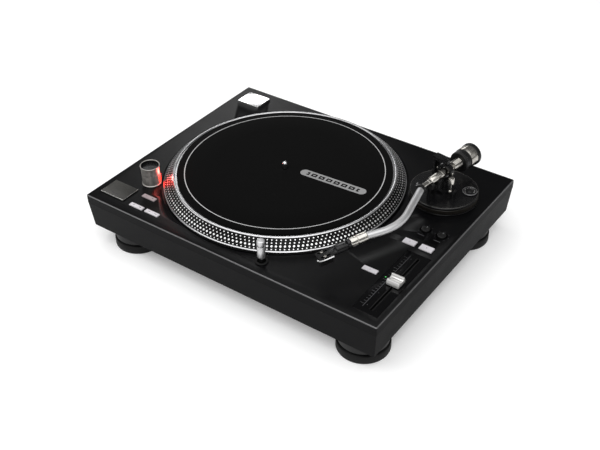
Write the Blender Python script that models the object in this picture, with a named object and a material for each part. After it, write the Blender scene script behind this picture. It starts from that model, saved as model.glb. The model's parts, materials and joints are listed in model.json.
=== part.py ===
"""Direct-drive DJ turntable: a die-cast deck on a tapered plinth, a dotted platter on a motor
spindle, and an S-shaped tonearm in a gimbal. Metres, +Z up, +Y towards the rear, +X to the right.
The origin is on the floor, under the middle of the deck."""

import math

import bmesh
import bpy
from mathutils import Matrix, Vector

MM = 0.001
GAP = 0.3  # clearance between neighbouring pieces, in millimetres

# Driving dimensions, in millimetres. Heights called z are above the top face of the deck.
DECK_WIDTH = 458.0
DECK_DEPTH = 356.5
DECK_TOP_ABOVE_FLOOR = 77.0
DECK_THICKNESS = 6.0
DECK_SKIRT = 12.0
DECK_WALL = 3.2
DECK_CORNER = 1.8
CHASSIS_HEIGHT = 50.5
PLINTH_TAPER = 3.2
PLINTH_WALL = 3.5
BASE_THICKNESS = 3.0

# The rear feet stand further in than the front ones, because the motor's weight is forward.
FEET = {
    "foot_front_left": (-176.0, -140.5),
    "foot_front_right": (190.0, -140.5),
    "foot_rear_left": (-176.0, 120.0),
    "foot_rear_right": (190.0, 120.0),
}
FOOT_RADIUS = 34.0
STUD_RADIUS = 4.0

SPINDLE_X, SPINDLE_Y = -31.2, 5.0
SPINDLE_RADIUS = 3.6
PLATTER_RADIUS = 166.0
PLATTER_TOP = 14.2
RECESS_RADIUS = 169.0
RECESS_DEPTH = 3.2
MOTOR_OPENING = 60.0
MAT_RADIUS = 147.0
MAT_THICKNESS = 2.2

STROBE_X, STROBE_Y = -175.0, -107.0
STROBE_RADIUS = 12.4
STROBE_SPLIT = 16.0
STROBE_TOP = 29.0

LAMP_X, LAMP_Y = 51.0, -157.0
LAMP_RADIUS = 5.2
LAMP_TOP = 33.0
LAMP_HOLE = 5.8

FADER_X, FADER_Y = 207.0, -100.0
FADER_TRAVEL = 50.0
FADER_PANEL = (186.0, -163.0, 220.0, -37.0)
PANEL_THICKNESS = 1.3

PIVOT_X, PIVOT_Y = 167.6, 90.0
PIVOT_Z = 40.0
ARM_REST_ANGLE = -8.8  # degrees from straight forward, towards the platter
ARM_COLUMN = 26.0
ARM_PLATE_RADIUS = 45.6
ARM_PLATE_TOP = 12.0
ARM_PLATE_THICKNESS = 3.4
HEIGHT_RING_RADIUS = 46.0
TUBE_RADIUS = 4.7
TUBE_START = (3.2, -56.9)
TUBE_OUT_ANGLE = 21.0
TUBE_IN_ANGLE = 22.0
HEADSHELL_ANGLE = 18.0
HEADSHELL_DROP = 5.0
HEADSHELL_TIP = -66.0
TUBE_FIRST_RUN = 54.0
TUBE_LAST_RUN = 20.0
TUBE_BEND_RADIUS = 70.0
NARROW_RADIUS = 3.2
SLEEVE_RADIUS = 5.2
SHAFT_RADIUS = 6.3
GIMBAL_BORE = 7.6
GIMBAL_RADIUS = 11.2
BRIDGE_LOW, BRIDGE_TOP = 12.3, 17.5
REST_DISTANCE = 35.0
LOCK_ANGLE = 115.0
ANTISKATE = (29.8, 16.2)
ANTISKATE_RADIUS = 9.8
LIFT_RADIUS = 22.0
LIFT_ANGLE = 250.0
LEVER_PLACE = (17.2, -10.0, -20.0)

# name: centre x, centre y, width, depth, height above the deck
BUTTONS = {
    "start_stop_button": (-197.5, -146.4, 40.0, 29.5, 2.0),
    "start_stop_button_rear": (-193.8, 146.2, 37.6, 30.3, 3.6),
    "speed_33_button": (-153.8, -159.8, 21.4, 5.6, 1.4),
    "speed_45_button": (-126.9, -159.5, 21.6, 5.6, 1.4),
    "speed_78_button": (-153.3, -135.9, 21.0, 5.7, 1.4),
    "reset_button": (168.8, -95.5, 19.5, 6.2, 1.4),
    "pitch_range_button": (181.1, -21.7, 16.3, 8.9, 1.6),
    "reverse_button": (205.0, -21.6, 17.0, 9.2, 1.6),
}
KNOBS = {"start_time_knob": (184.7, 12.3), "brake_time_knob": (207.8, 12.1)}
KNOB_RADIUS = 6.0
KNOB_POCKET = 7.4
KNOB_POCKET_DEPTH = 4.0
KNOB_SHAFT = 2.8

INLET_X, INLET_Z = -160.0, -28.0
BAY_X, BAY_Z = 90.0, -29.0
SOCKETS = {"rca_socket_left": 75.0, "rca_socket_right": 95.0}
GROUND_X = 113.0
REAR_FACE = 176.3

# finish: linear colour, roughness, metallic
FINISHES = {
    "black paint": ((0.012, 0.012, 0.014), 0.42, 0.3),
    "black plastic": ((0.02, 0.02, 0.021), 0.4, 0.0),
    "black rubber": ((0.015, 0.015, 0.015), 0.6, 0.0),
    "black metal": ((0.02, 0.02, 0.022), 0.3, 0.8),
    "bare aluminium": ((0.75, 0.75, 0.76), 0.3, 1.0),
    "satin aluminium": ((0.68, 0.68, 0.69), 0.42, 1.0),
    "chrome": ((0.85, 0.85, 0.86), 0.12, 1.0),
    "steel": ((0.6, 0.6, 0.6), 0.3, 1.0),
    "white plastic": ((0.7, 0.7, 0.7), 0.35, 0.0),
    "grey plastic": ((0.3, 0.28, 0.28), 0.4, 0.0),
    "black felt": ((0.02, 0.02, 0.02), 0.95, 0.0),
    "red lens": ((0.6, 0.02, 0.02), 0.15, 0.0),
    "copper": ((0.7, 0.3, 0.15), 0.35, 1.0),
    "ferrite": ((0.05, 0.05, 0.055), 0.6, 0.2),
    "circuit board": ((0.02, 0.12, 0.05), 0.5, 0.0),
    "brass": ((0.7, 0.5, 0.2), 0.3, 1.0),
}


def clear_scene():
    for old in list(bpy.data.objects):
        bpy.data.objects.remove(old, do_unlink=True)


def world(x, y, z=0.0):
    """A place on the deck, in metres from the floor under the deck's middle."""
    return Vector((x * MM, y * MM, (DECK_TOP_ABOVE_FLOOR + z) * MM))


def finish_material(name, finish):
    colour, roughness, metallic = FINISHES[finish]
    material = bpy.data.materials.new(name + "_finish")
    material.use_nodes = True
    shader = material.node_tree.nodes["Principled BSDF"]
    shader.inputs["Base Color"].default_value = (*colour, 1.0)
    shader.inputs["Roughness"].default_value = roughness
    shader.inputs["Metallic"].default_value = metallic
    return material


def object_from(name, shape, at, parent):
    """An object whose mesh is given in millimetres around its own origin."""
    bmesh.ops.scale(shape, vec=(MM, MM, MM), verts=shape.verts)
    mesh = bpy.data.meshes.new(name)
    shape.to_mesh(mesh)
    shape.free()
    mesh.shade_smooth()
    mesh.set_sharp_from_angle(angle=math.radians(35))
    obj = bpy.data.objects.new(name, mesh)
    obj.location = at
    obj.parent = parent
    bpy.context.scene.collection.objects.link(obj)
    return obj


def add_part(name, shape, finish, at=world(0, 0), parent=None):
    obj = object_from(name, shape, at, parent)
    obj.data.materials.append(finish_material(name, finish))
    return obj


def combine(part, shape, operation, label):
    """Cuts a shape from a part, or joins it on. The shape is placed as the part is."""
    helper = object_from(f"{part.name}_{label}", shape, part.location, part.parent)
    helper.hide_render = True
    helper.display_type = "WIRE"
    boolean = part.modifiers.new(label, "BOOLEAN")
    boolean.operation = operation
    boolean.object = helper
    boolean.solver = "EXACT"


def cut(part, shape, label):
    combine(part, shape, "DIFFERENCE", label)


def join(part, shape, label):
    combine(part, shape, "UNION", label)


def axis_empty(name, at, turn_degrees, parent=None):
    empty = bpy.data.objects.new(name, None)
    empty.location = at
    empty.rotation_euler = (0.0, 0.0, math.radians(turn_degrees))
    empty.parent = parent
    bpy.context.scene.collection.objects.link(empty)
    return empty


def box(low, high, corner=0.0, top_edge=0.0):
    """A block between two corners, with rounded upright edges and a softened top edge."""
    shape = bmesh.new()
    bmesh.ops.create_cube(shape, size=1.0)
    size = [b - a for a, b in zip(low, high)]
    middle = [(a + b) / 2 for a, b in zip(low, high)]
    bmesh.ops.scale(shape, vec=size, verts=shape.verts)
    bmesh.ops.translate(shape, vec=middle, verts=shape.verts)
    if corner:
        upright = [e for e in shape.edges if abs((e.verts[0].co - e.verts[1].co).z) > size[2] / 2]
        bmesh.ops.bevel(shape, geom=upright, offset=corner, segments=3, profile=0.5, affect="EDGES")
    if top_edge:
        rim = [e for e in shape.edges if min(v.co.z for v in e.verts) > high[2] - 1e-4]
        bmesh.ops.bevel(shape, geom=rim, offset=top_edge, segments=2, profile=0.5, affect="EDGES")
    return shape


def spun(points, closed, segments):
    """Turns (radius, height) points round the Z axis into a solid."""
    shape = bmesh.new()
    ring = [shape.verts.new((r, 0.0, z)) for r, z in points]
    pairs = list(zip(ring, ring[1:]))
    if closed:
        pairs.append((ring[-1], ring[0]))
    edges = [shape.edges.new(pair) for pair in pairs]
    bmesh.ops.spin(
        shape,
        geom=ring + edges,
        cent=(0, 0, 0),
        axis=(0, 0, 1),
        angle=math.tau,
        steps=segments,
        use_merge=True,
    )
    bmesh.ops.remove_doubles(shape, verts=shape.verts, dist=1e-4)
    bmesh.ops.recalc_face_normals(shape, faces=shape.faces)
    return shape


def turned(points, segments=32):
    """A turned solid whose profile starts and ends on the axis."""
    return spun(points, False, segments)


def turned_ring(points, segments=32):
    """A turned solid with a bore: its profile is a closed outline."""
    return spun(points, True, segments)


def cylinder(radius, low, high, segments=24):
    return turned([(0, low), (radius, low), (radius, high), (0, high)], segments)


def ring(inner, outer, low, high, segments=32):
    return turned_ring([(inner, low), (outer, low), (outer, high), (inner, high)], segments)


def moved(shape, x=0.0, y=0.0, z=0.0):
    bmesh.ops.translate(shape, vec=(x, y, z), verts=shape.verts)
    return shape


def tipped(shape, degrees, axis):
    turn = Matrix.Rotation(math.radians(degrees), 3, axis)
    bmesh.ops.rotate(shape, cent=(0, 0, 0), matrix=turn, verts=shape.verts)
    return shape


def along_y(shape):
    """Lays a turned shape down, so that its +Z end points along +Y."""
    return tipped(shape, -90, "X")


def along_x(shape):
    """Lays a turned shape down, so that its +Z end points along +X."""
    return tipped(shape, 90, "Y")


def gathered(shapes):
    """One mesh of several shapes that stay clear of each other, to cut them all at once."""
    whole = bmesh.new()
    for shape in shapes:
        mesh = bpy.data.meshes.new("gathered")
        shape.to_mesh(mesh)
        shape.free()
        whole.from_mesh(mesh)
        bpy.data.meshes.remove(mesh)
    return whole


def swept(points, radius, sides=16):
    """A round bar along a smooth line of points. Its first end is square to the Y axis."""
    shape = bmesh.new()
    path = [Vector(p) for p in points]
    loops = []
    for i, place in enumerate(path):
        ahead = path[min(i + 1, len(path) - 1)] - path[max(i - 1, 0)]
        if i == 0:
            ahead = Vector((0, -1, 0))
        frame = ahead.to_track_quat("Z", "Y").to_matrix().to_4x4()
        frame.translation = place
        circle = bmesh.ops.create_circle(shape, segments=sides, radius=radius, matrix=frame)
        loops.append(circle["verts"])
    for first, second in zip(loops, loops[1:]):
        for i in range(sides):
            j = (i + 1) % sides
            shape.faces.new((first[i], first[j], second[j], second[i]))
    shape.faces.new(loops[0])
    shape.faces.new(loops[-1])
    bmesh.ops.recalc_face_normals(shape, faces=shape.faces)
    return shape


def slab(outline, low, high):
    """An outline in X and Y, given a thickness."""
    shape = bmesh.new()
    face = shape.faces.new([shape.verts.new((x, y, low)) for x, y in outline])
    top = bmesh.ops.extrude_face_region(shape, geom=[face])["geom"]
    verts = [item for item in top if isinstance(item, bmesh.types.BMVert)]
    bmesh.ops.translate(shape, vec=(0, 0, high - low), verts=verts)
    bmesh.ops.recalc_face_normals(shape, faces=shape.faces)
    return shape


def arc_points(radius, start, end, count, centre=(0.0, 0.0)):
    """Points on an arc, from one angle to another in degrees."""
    found = []
    for i in range(count + 1):
        angle = math.radians(start + (end - start) * i / count)
        x = centre[0] + radius * math.cos(angle)
        y = centre[1] + radius * math.sin(angle)
        found.append((x, y))
    return found


# Chassis


def deck_openings():
    """Everything that the deck is cut away for: recess, motor well, controls and arm column."""
    deep, above = -DECK_SKIRT, 1.0
    cutters = []
    for x, y, width, depth, _ in BUTTONS.values():
        half_x, half_y = width / 2 + 0.5, depth / 2 + 0.5
        cutters.append(box((x - half_x, y - half_y, deep), (x + half_x, y + half_y, above)))
    for x, y in KNOBS.values():
        pocket = [
            (0, deep),
            (KNOB_SHAFT + GAP, deep),
            (KNOB_SHAFT + GAP, -KNOB_POCKET_DEPTH),
            (KNOB_POCKET, -KNOB_POCKET_DEPTH),
            (KNOB_POCKET, above),
            (0, above),
        ]
        cutters.append(moved(turned(pocket, 24), x, y))
    cutters.append(moved(cylinder(LAMP_HOLE, deep, above), LAMP_X, LAMP_Y))
    cutters.append(moved(cylinder(6.0, deep, above), STROBE_X, STROBE_Y))
    cutters.append(moved(cylinder(ARM_COLUMN + 0.8, deep, above, 40), PIVOT_X, PIVOT_Y))
    well = [
        (0, deep),
        (MOTOR_OPENING, deep),
        (MOTOR_OPENING, -RECESS_DEPTH),
        (RECESS_RADIUS, -RECESS_DEPTH),
        (RECESS_RADIUS, above),
        (0, above),
    ]
    cutters.append(moved(turned(well, 96), SPINDLE_X, SPINDLE_Y))
    return gathered(cutters)


def make_top_plate():
    half_x, half_y = DECK_WIDTH / 2, DECK_DEPTH / 2
    plate = box((-half_x, -half_y, -DECK_SKIRT), (half_x, half_y, 0), corner=DECK_CORNER, top_edge=1.2)
    part = add_part("top_plate", plate, "black paint")
    inner_x, inner_y = half_x - DECK_WALL, half_y - DECK_WALL
    hollow = box(
        (-inner_x, -inner_y, -DECK_SKIRT - 1), (inner_x, inner_y, -DECK_THICKNESS)
    )
    cut(part, hollow, "hollow")
    cut(part, deck_openings(), "openings")
    left, front, right, back = FADER_PANEL
    depth = PANEL_THICKNESS + GAP
    pocket = box((left - GAP, front - GAP, -depth), (right + GAP, back + GAP, 1.0))
    cut(part, pocket, "panel_pocket")
    cut(part, fader_slot(3.4, FADER_TRAVEL + 6.0), "fader_slot")


def fader_slot(half_width, half_length):
    low = (FADER_X - half_width, FADER_Y - half_length, -DECK_SKIRT)
    high = (FADER_X + half_width, FADER_Y + half_length, 1.0)
    return box(low, high)


def make_fader_panel():
    left, front, right, back = FADER_PANEL
    sheet = box((left, front, -PANEL_THICKNESS), (right, back, 0), corner=1.5)
    part = add_part("fader_panel", sheet, "black plastic")
    cut(part, fader_slot(2.8, FADER_TRAVEL + 5.4), "slot")


def make_plinth():
    top, bottom = -DECK_SKIRT - GAP, -CHASSIS_HEIGHT
    half_x, half_y = DECK_WIDTH / 2 - 0.2, DECK_DEPTH / 2 - 0.2
    walls = box((-half_x, -half_y, bottom), (half_x, half_y, top), corner=DECK_CORNER)
    for vert in walls.verts:
        if vert.co.z < (top + bottom) / 2:
            vert.co.x -= math.copysign(PLINTH_TAPER, vert.co.x)
            vert.co.y -= math.copysign(PLINTH_TAPER, vert.co.y)
    part = add_part("plinth", walls, "black paint")
    inner_x = half_x - PLINTH_TAPER - PLINTH_WALL
    inner_y = half_y - PLINTH_TAPER - PLINTH_WALL
    cut(part, box((-inner_x, -inner_y, bottom - 1), (inner_x, inner_y, top + 1)), "hollow")
    back = half_y + 1
    inlet = box((INLET_X - 14.3, inner_y - 5, INLET_Z - 10.3), (INLET_X + 14.3, back, INLET_Z + 10.3))
    bay = box((BAY_X - 35.3, inner_y - 5, BAY_Z - 11.3), (BAY_X + 35.3, back, BAY_Z + 11.3))
    cut(part, gathered([inlet, bay]), "rear_openings")


def make_base_plate():
    inner_x = DECK_WIDTH / 2 - 0.2 - PLINTH_TAPER - PLINTH_WALL - GAP
    inner_y = DECK_DEPTH / 2 - 0.2 - PLINTH_TAPER - PLINTH_WALL - GAP
    low, high = -CHASSIS_HEIGHT, -CHASSIS_HEIGHT + BASE_THICKNESS
    part = add_part(
        "base_plate", box((-inner_x, -inner_y, low), (inner_x, inner_y, high)), "black rubber"
    )
    holes = []
    for x, y in FEET.values():
        holes.append(moved(cylinder(STUD_RADIUS + 0.4, low - 1, high + 1, 20), x, y))
    cut(part, gathered(holes), "foot_holes")


def make_feet():
    """Four damped feet. Each turns on its stud to level the deck."""
    under = DECK_TOP_ABOVE_FLOOR - CHASSIS_HEIGHT
    profile = [
        (0, 0),
        (FOOT_RADIUS - 1.5, 0),
        (FOOT_RADIUS, 1.5),
        (FOOT_RADIUS, 11.0),
        (FOOT_RADIUS - 1.5, 12.5),
        (FOOT_RADIUS - 4.0, 12.5),
        (FOOT_RADIUS - 4.0, 14.5),
        (FOOT_RADIUS - 1.8, 14.5),
        (FOOT_RADIUS - 1.8, under - 1.5),
        (FOOT_RADIUS - 3.0, under - GAP),
        (STUD_RADIUS, under - GAP),
        (STUD_RADIUS, under + BASE_THICKNESS + 0.5),
        (0, under + BASE_THICKNESS + 0.5),
    ]
    for name, (x, y) in FEET.items():
        add_part(name, turned(profile, 36), "black rubber", world(x, y, -DECK_TOP_ABOVE_FLOOR))


# Motor and platter


def make_motor():
    """A stator of twelve wound poles on its board, round a deep bearing for the spindle."""
    at = world(SPINDLE_X, SPINDLE_Y)
    board_low, board_top, pole_top = -8.6, -7.0, 5.5
    outline = [
        (8.4, board_low),
        (68, board_low),
        (68, board_top),
        (46, board_top),
        (46, pole_top),
        (20, pole_top),
        (20, board_top),
        (8.4, board_top),
    ]
    part = add_part("motor_stator", turned_ring(outline, 48), "copper", at)
    gaps = []
    for i in range(12):
        gap = box((26, -1.6, board_top + 1.5), (50, 1.6, pole_top + 1))
        gaps.append(tipped(gap, 30 * i, "Z"))
    cut(part, gathered(gaps), "pole_gaps")
    bore = SPINDLE_RADIUS + 0.4
    housing = [
        (0, -41),
        (8, -41),
        (8, -12.3),
        (20, -12.3),
        (20, board_low - 0.5),
        (8, board_low - 0.5),
        (8, 5.8),
        (bore, 5.8),
        (bore, -38.4),
        (0, -38.4),
    ]
    add_part("bearing_housing", turned(housing, 32), "brass", at)


def make_platter():
    at = world(SPINDLE_X, SPINDLE_Y)
    bore = SPINDLE_RADIUS + GAP
    web = PLATTER_TOP - 5.2
    outline = [
        (158.5, -2.0),
        (165.0, -2.0),
        (165.0, 0.9),
        (PLATTER_RADIUS, 1.3),
        (PLATTER_RADIUS, 2.8),
        (164.6, 3.3),
        (152.7, 14.8),
        (152.4, 15.6),
        (150.0, 15.8),
        (149.4, PLATTER_TOP),
        (bore, PLATTER_TOP),
        (bore, web),
        (147.5, web),
    ]
    add_part("platter", turned_ring(outline, 112), "bare aluminium", at)
    add_part("rotor_magnet", ring(49, 56, -4.5, web - GAP, 40), "ferrite", at)
    shaft = [
        (0, -38),
        (SPINDLE_RADIUS, -38),
        (SPINDLE_RADIUS, web - 2.6),
        (12, web - 2.6),
        (12, web - GAP),
        (SPINDLE_RADIUS, web - GAP),
        (SPINDLE_RADIUS, 24.6),
        (SPINDLE_RADIUS - 0.8, 26.2),
        (SPINDLE_RADIUS - 2.0, 27.0),
        (0, 27.2),
    ]
    add_part("spindle", turned(shaft, 24), "steel", at)
    low, high = PLATTER_TOP + GAP, PLATTER_TOP + GAP + MAT_THICKNESS
    felt = [
        (SPINDLE_RADIUS + 0.5, low),
        (MAT_RADIUS, low),
        (MAT_RADIUS, high - 0.5),
        (MAT_RADIUS - 0.5, high),
        (SPINDLE_RADIUS + 0.5, high),
    ]
    add_part("slipmat", turned_ring(felt, 96), "black felt", at)


# Controls


def button(width, depth, top):
    """A button on a wider foot, which stops it under the deck."""
    lip, foot_low, foot_high = 1.3, -DECK_THICKNESS - 2.0, -DECK_THICKNESS - GAP
    half_x, half_y = width / 2 + lip, depth / 2 + lip
    shape = box((-half_x, -half_y, foot_low), (half_x, half_y, foot_high))
    shape.faces.ensure_lookup_table()
    upper = max(shape.faces, key=lambda face: face.calc_center_median().z)
    bmesh.ops.inset_region(shape, faces=[upper], thickness=lip)
    raised = bmesh.ops.extrude_face_region(shape, geom=[upper])["geom"]
    verts = [item for item in raised if isinstance(item, bmesh.types.BMVert)]
    bmesh.ops.delete(shape, geom=[upper], context="FACES_ONLY")
    bmesh.ops.translate(shape, vec=(0, 0, top - foot_high), verts=verts)
    rim = [e for e in shape.edges if min(v.co.z for v in e.verts) > top - 1e-4]
    bmesh.ops.bevel(shape, geom=rim, offset=0.5, segments=2, profile=0.5, affect="EDGES")
    bmesh.ops.recalc_face_normals(shape, faces=shape.faces)
    return shape


def make_buttons():
    looks = {"start_stop_button": "satin aluminium", "start_stop_button_rear": "chrome"}
    looks["speed_78_button"] = "grey plastic"
    for name, (x, y, width, depth, top) in BUTTONS.items():
        finish = looks.get(name, "white plastic")
        add_part(name, button(width, depth, top), finish, world(x, y))


def make_time_knobs():
    sunk = -KNOB_POCKET_DEPTH + 0.4
    profile = [
        (0, -13),
        (KNOB_SHAFT, -13),
        (KNOB_SHAFT, sunk),
        (KNOB_RADIUS, sunk),
        (KNOB_RADIUS - 0.3, 1.4),
        (KNOB_RADIUS - 0.9, 2.0),
        (0, 2.0),
    ]
    for name, (x, y) in KNOBS.items():
        add_part(name, turned(profile, 24), "black plastic", world(x, y))


def make_pitch_fader():
    """A waisted cap on a flat stem, and the rail that the stem runs in."""
    at = world(FADER_X, FADER_Y)
    half_y, low, high = 8.0, 1.2, 9.2
    side = [
        (-half_y, low),
        (half_y, low),
        (half_y, low + 3.0),
        (half_y - 1.4, high),
        (half_y - 3.6, high),
        (half_y - 4.6, high - 2.6),
        (0, high - 3.2),
        (-half_y + 3.4, high - 1.0),
        (-half_y + 1.4, high - 1.2),
        (-half_y, low + 3.0),
    ]
    cap = slab(side, -8.5, 8.5)
    tipped(cap, 90, "X")
    tipped(cap, 90, "Z")
    part = add_part("pitch_fader", cap, "white plastic", at)
    join(part, box((-1.2, -4.5, -14), (1.2, 4.5, 3)), "stem")
    rail_low, rail_top = -20.0, -DECK_THICKNESS - 0.6
    reach = FADER_TRAVEL + 11.0
    rail = add_part("fader_rail", box((-8, -reach, rail_low), (8, reach, rail_top)), "steel", at)
    cut(rail, box((-2.4, -reach + 5, -15.5), (2.4, reach - 5, 0)), "groove")


def make_strobe():
    """The strobe tower: a hollow base with a lens towards the platter, and the power dial on it."""
    at = world(STROBE_X, STROBE_Y)
    inner = STROBE_RADIUS - 2.0
    shell = [
        (0, STROBE_SPLIT - 2),
        (inner, STROBE_SPLIT - 2),
        (inner, GAP),
        (STROBE_RADIUS + 0.8, GAP),
        (STROBE_RADIUS + 0.8, 1.6),
        (STROBE_RADIUS, 2.2),
        (STROBE_RADIUS, STROBE_SPLIT),
        (0, STROBE_SPLIT),
    ]
    housing = add_part("strobe_housing", turned(shell, 40), "bare aluminium", at)
    facing = math.degrees(math.atan2(SPINDLE_Y - STROBE_Y, SPINDLE_X - STROBE_X))
    opening = box((inner - 3, -5.3, 3.2), (inner + 6, 5.3, 11.8))
    cut(housing, tipped(opening, facing, "Z"), "lens_opening")
    lens = box((inner - 1.5, -5, 3.5), (STROBE_RADIUS + 0.4, 5, 11.5), corner=0.8)
    add_part("strobe_window", tipped(lens, facing, "Z"), "red lens", at)
    low = STROBE_SPLIT + GAP
    dial = [
        (0, low),
        (STROBE_RADIUS - 0.3, low),
        (STROBE_RADIUS - 0.3, low + 1.2),
        (STROBE_RADIUS, low + 1.6),
        (STROBE_RADIUS + 0.3, STROBE_TOP - 5),
        (STROBE_RADIUS + 1.6, STROBE_TOP - 2),
        (STROBE_RADIUS + 1.6, STROBE_TOP),
        (STROBE_RADIUS - 0.6, STROBE_TOP),
        (STROBE_RADIUS - 2.4, STROBE_TOP - 3.5),
        (0, STROBE_TOP - 4.5),
    ]
    add_part("power_knob", turned(dial, 40), "bare aluminium", at)


def make_target_lamp():
    """The stylus lamp, popped up. It pushes down into the deck."""
    at = world(LAMP_X, LAMP_Y)
    stem = LAMP_RADIUS - 1.7
    profile = [
        (0, -12),
        (stem, -12),
        (stem, 6),
        (LAMP_RADIUS - 0.5, 7.4),
        (LAMP_RADIUS, 9),
        (LAMP_RADIUS, LAMP_TOP - 0.8),
        (LAMP_RADIUS - 0.8, LAMP_TOP),
        (0, LAMP_TOP),
    ]
    add_part("target_lamp", turned(profile, 24), "chrome", at)
    collar = [(LAMP_HOLE - 0.2, GAP), (8.4, GAP), (8.4, 1.2), (7.6, 1.9), (LAMP_HOLE - 0.2, 1.9)]
    add_part("lamp_collar", turned_ring(collar, 28), "black metal", at)


# Tonearm base


def make_arm_flange():
    at = world(PIVOT_X, PIVOT_Y)
    bore = ARM_COLUMN + 1.5
    outer = HEIGHT_RING_RADIUS
    flange = [(bore, GAP), (outer + 0.5, GAP), (outer + 0.5, 1.8), (outer, 2.3), (bore, 2.3)]
    add_part("arm_flange", turned_ring(flange, 64), "black metal", at)
    low, high = 2.6, ARM_PLATE_TOP - ARM_PLATE_THICKNESS - GAP
    outline = [(bore, low), (outer - 0.4, low), (outer, low + 0.4), (outer, high - 0.4)]
    outline += [(outer - 0.4, high), (bore, high)]
    height_ring = add_part("height_ring", turned_ring(outline, 72), "black metal", at)
    grips = []
    for i in range(24):
        grip = box((outer - 0.7, -1.1, low + 0.8), (outer + 1, 1.1, high - 0.8))
        grips.append(tipped(grip, 15 * i, "Z"))
    cut(height_ring, gathered(grips), "grips")


def make_height_lock():
    """The small lever that clamps the height ring, at the rear left of the flange."""
    angle = math.radians(LOCK_ANGLE)
    at = world(PIVOT_X + 52.6 * math.cos(angle), PIVOT_Y + 52.6 * math.sin(angle))
    hub = [(0, GAP), (4.0, GAP), (4.0, 5.6), (3.4, 6.2), (0, 6.2)]
    part = add_part("height_lock", turned(hub, 20), "black plastic", at)
    lever = box((-1.4, -13, 2.4), (1.4, 0, 5.2), corner=1.0)
    join(part, tipped(lever, LOCK_ANGLE, "Z"), "lever")


def make_arm_base(arm):
    """The plate that carries the whole arm. Its column slides down through the deck."""
    inner = ARM_COLUMN - 4
    low = ARM_PLATE_TOP - ARM_PLATE_THICKNESS
    profile = [
        (0, low - 2.6),
        (inner, low - 2.6),
        (inner, -24),
        (ARM_COLUMN, -24),
        (ARM_COLUMN, low),
        (ARM_PLATE_RADIUS, low),
        (ARM_PLATE_RADIUS, ARM_PLATE_TOP - 0.9),
        (ARM_PLATE_RADIUS - 0.9, ARM_PLATE_TOP),
        (0, ARM_PLATE_TOP),
    ]
    down = -PIVOT_Z
    part = add_part("arm_base", moved(turned(profile, 64), 0, 0, down), "black metal", (0, 0, 0), arm)
    lift_x, lift_y = lift_pin_place()
    boss = moved(cylinder(4.6, ARM_PLATE_TOP - 1 + down, 24 + down, 20), lift_x, lift_y)
    join(part, boss, "lift_boss")
    join(part, box((19.6, -14, ARM_PLATE_TOP - 1 + down), (24, -6, 23.5 + down)), "lever_bracket")
    bore = moved(cylinder(2.4, ARM_PLATE_TOP + 1 + down, 25 + down, 16), lift_x, lift_y)
    dial_x, dial_y = ANTISKATE
    seat = moved(cylinder(2.5, low - 1 + down, ARM_PLATE_TOP + 1 + down, 16), dial_x, dial_y)
    cut(part, gathered([bore, seat]), "bores")



def lift_pin_place():
    angle = math.radians(LIFT_ANGLE)
    return LIFT_RADIUS * math.cos(angle), LIFT_RADIUS * math.sin(angle)


def make_lift_platform(arm):
    """The curved bar that lifts the arm, under its whole swing."""
    top = -SLEEVE_RADIUS - 6.4
    outer = arc_points(LIFT_RADIUS + 2, 222, 278, 12)
    inner = arc_points(LIFT_RADIUS - 2, 278, 222, 12)
    part = add_part("lift_platform", slab(outer + inner, top - 2.4, top), "black rubber", (0, 0, 0), arm)
    pin_x, pin_y = lift_pin_place()
    join(part, moved(cylinder(2.0, 17 - PIVOT_Z, top - 1, 16), pin_x, pin_y), "pin")


def make_cue_lever(arm):
    """A stick with a round knob, on a cross axle in the bracket beside the gimbal."""
    lever = Vector(LEVER_PLACE) * MM
    hub = along_x(cylinder(2.8, -1.6, 2.0, 20))
    part = add_part("cue_lever", hub, "chrome", lever, arm)
    knob = [(0, 0), (1.3, 0), (1.3, 13.5), (3.2, 13.5), (3.75, 14.1), (3.75, 21.6), (3.1, 22.2), (0, 22.2)]
    join(part, turned(knob, 16), "stick")


def make_antiskate_dial(arm):
    low = ARM_PLATE_TOP + GAP - PIVOT_Z
    x, y = ANTISKATE
    rim = ANTISKATE_RADIUS
    profile = [
        (0, low - 3),
        (2.1, low - 3),
        (2.1, low),
        (rim, low),
        (rim, low + 1.6),
        (rim - 0.5, low + 2.0),
        (rim - 1.6, low + 1.6),
        (4.4, low + 1.6),
        (4.0, low + 2.8),
        (0, low + 2.8),
    ]
    place = Vector((x, y, 0)) * MM
    add_part("antiskate_dial", turned(profile, 32), "black metal", place, arm)


def make_arm_rest(arm):
    """A post with a saddle, which is low on the platter side and has a short wall on the other."""
    down = -PIVOT_Z
    seat_top = -NARROW_RADIUS - 1.1
    y0, y1 = -REST_DISTANCE - 2.6, -REST_DISTANCE + 2.6
    post = cylinder(2.6, ARM_PLATE_TOP + GAP + down, seat_top - 3, 20)
    part = add_part("arm_rest", moved(post, 0.8, -REST_DISTANCE), "black plastic", (0, 0, 0), arm)
    outline = [
        (-4.6, seat_top - 4.2),
        (7.2, seat_top - 4.2),
        (7.2, -0.6),
        (4.9, -0.6),
        (4.9, seat_top + 1.2),
        (3.6, seat_top),
        (-4.6, seat_top),
    ]
    saddle = slab(outline, y0, y1)
    join(part, upright(saddle), "saddle")


def upright(shape):
    """Stands a slab up, so that its outline is in X and Z and its thickness along Y."""
    tipped(shape, 90, "X")
    bmesh.ops.scale(shape, vec=(1, -1, 1), verts=shape.verts)
    bmesh.ops.recalc_face_normals(shape, faces=shape.faces)
    return shape


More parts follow.
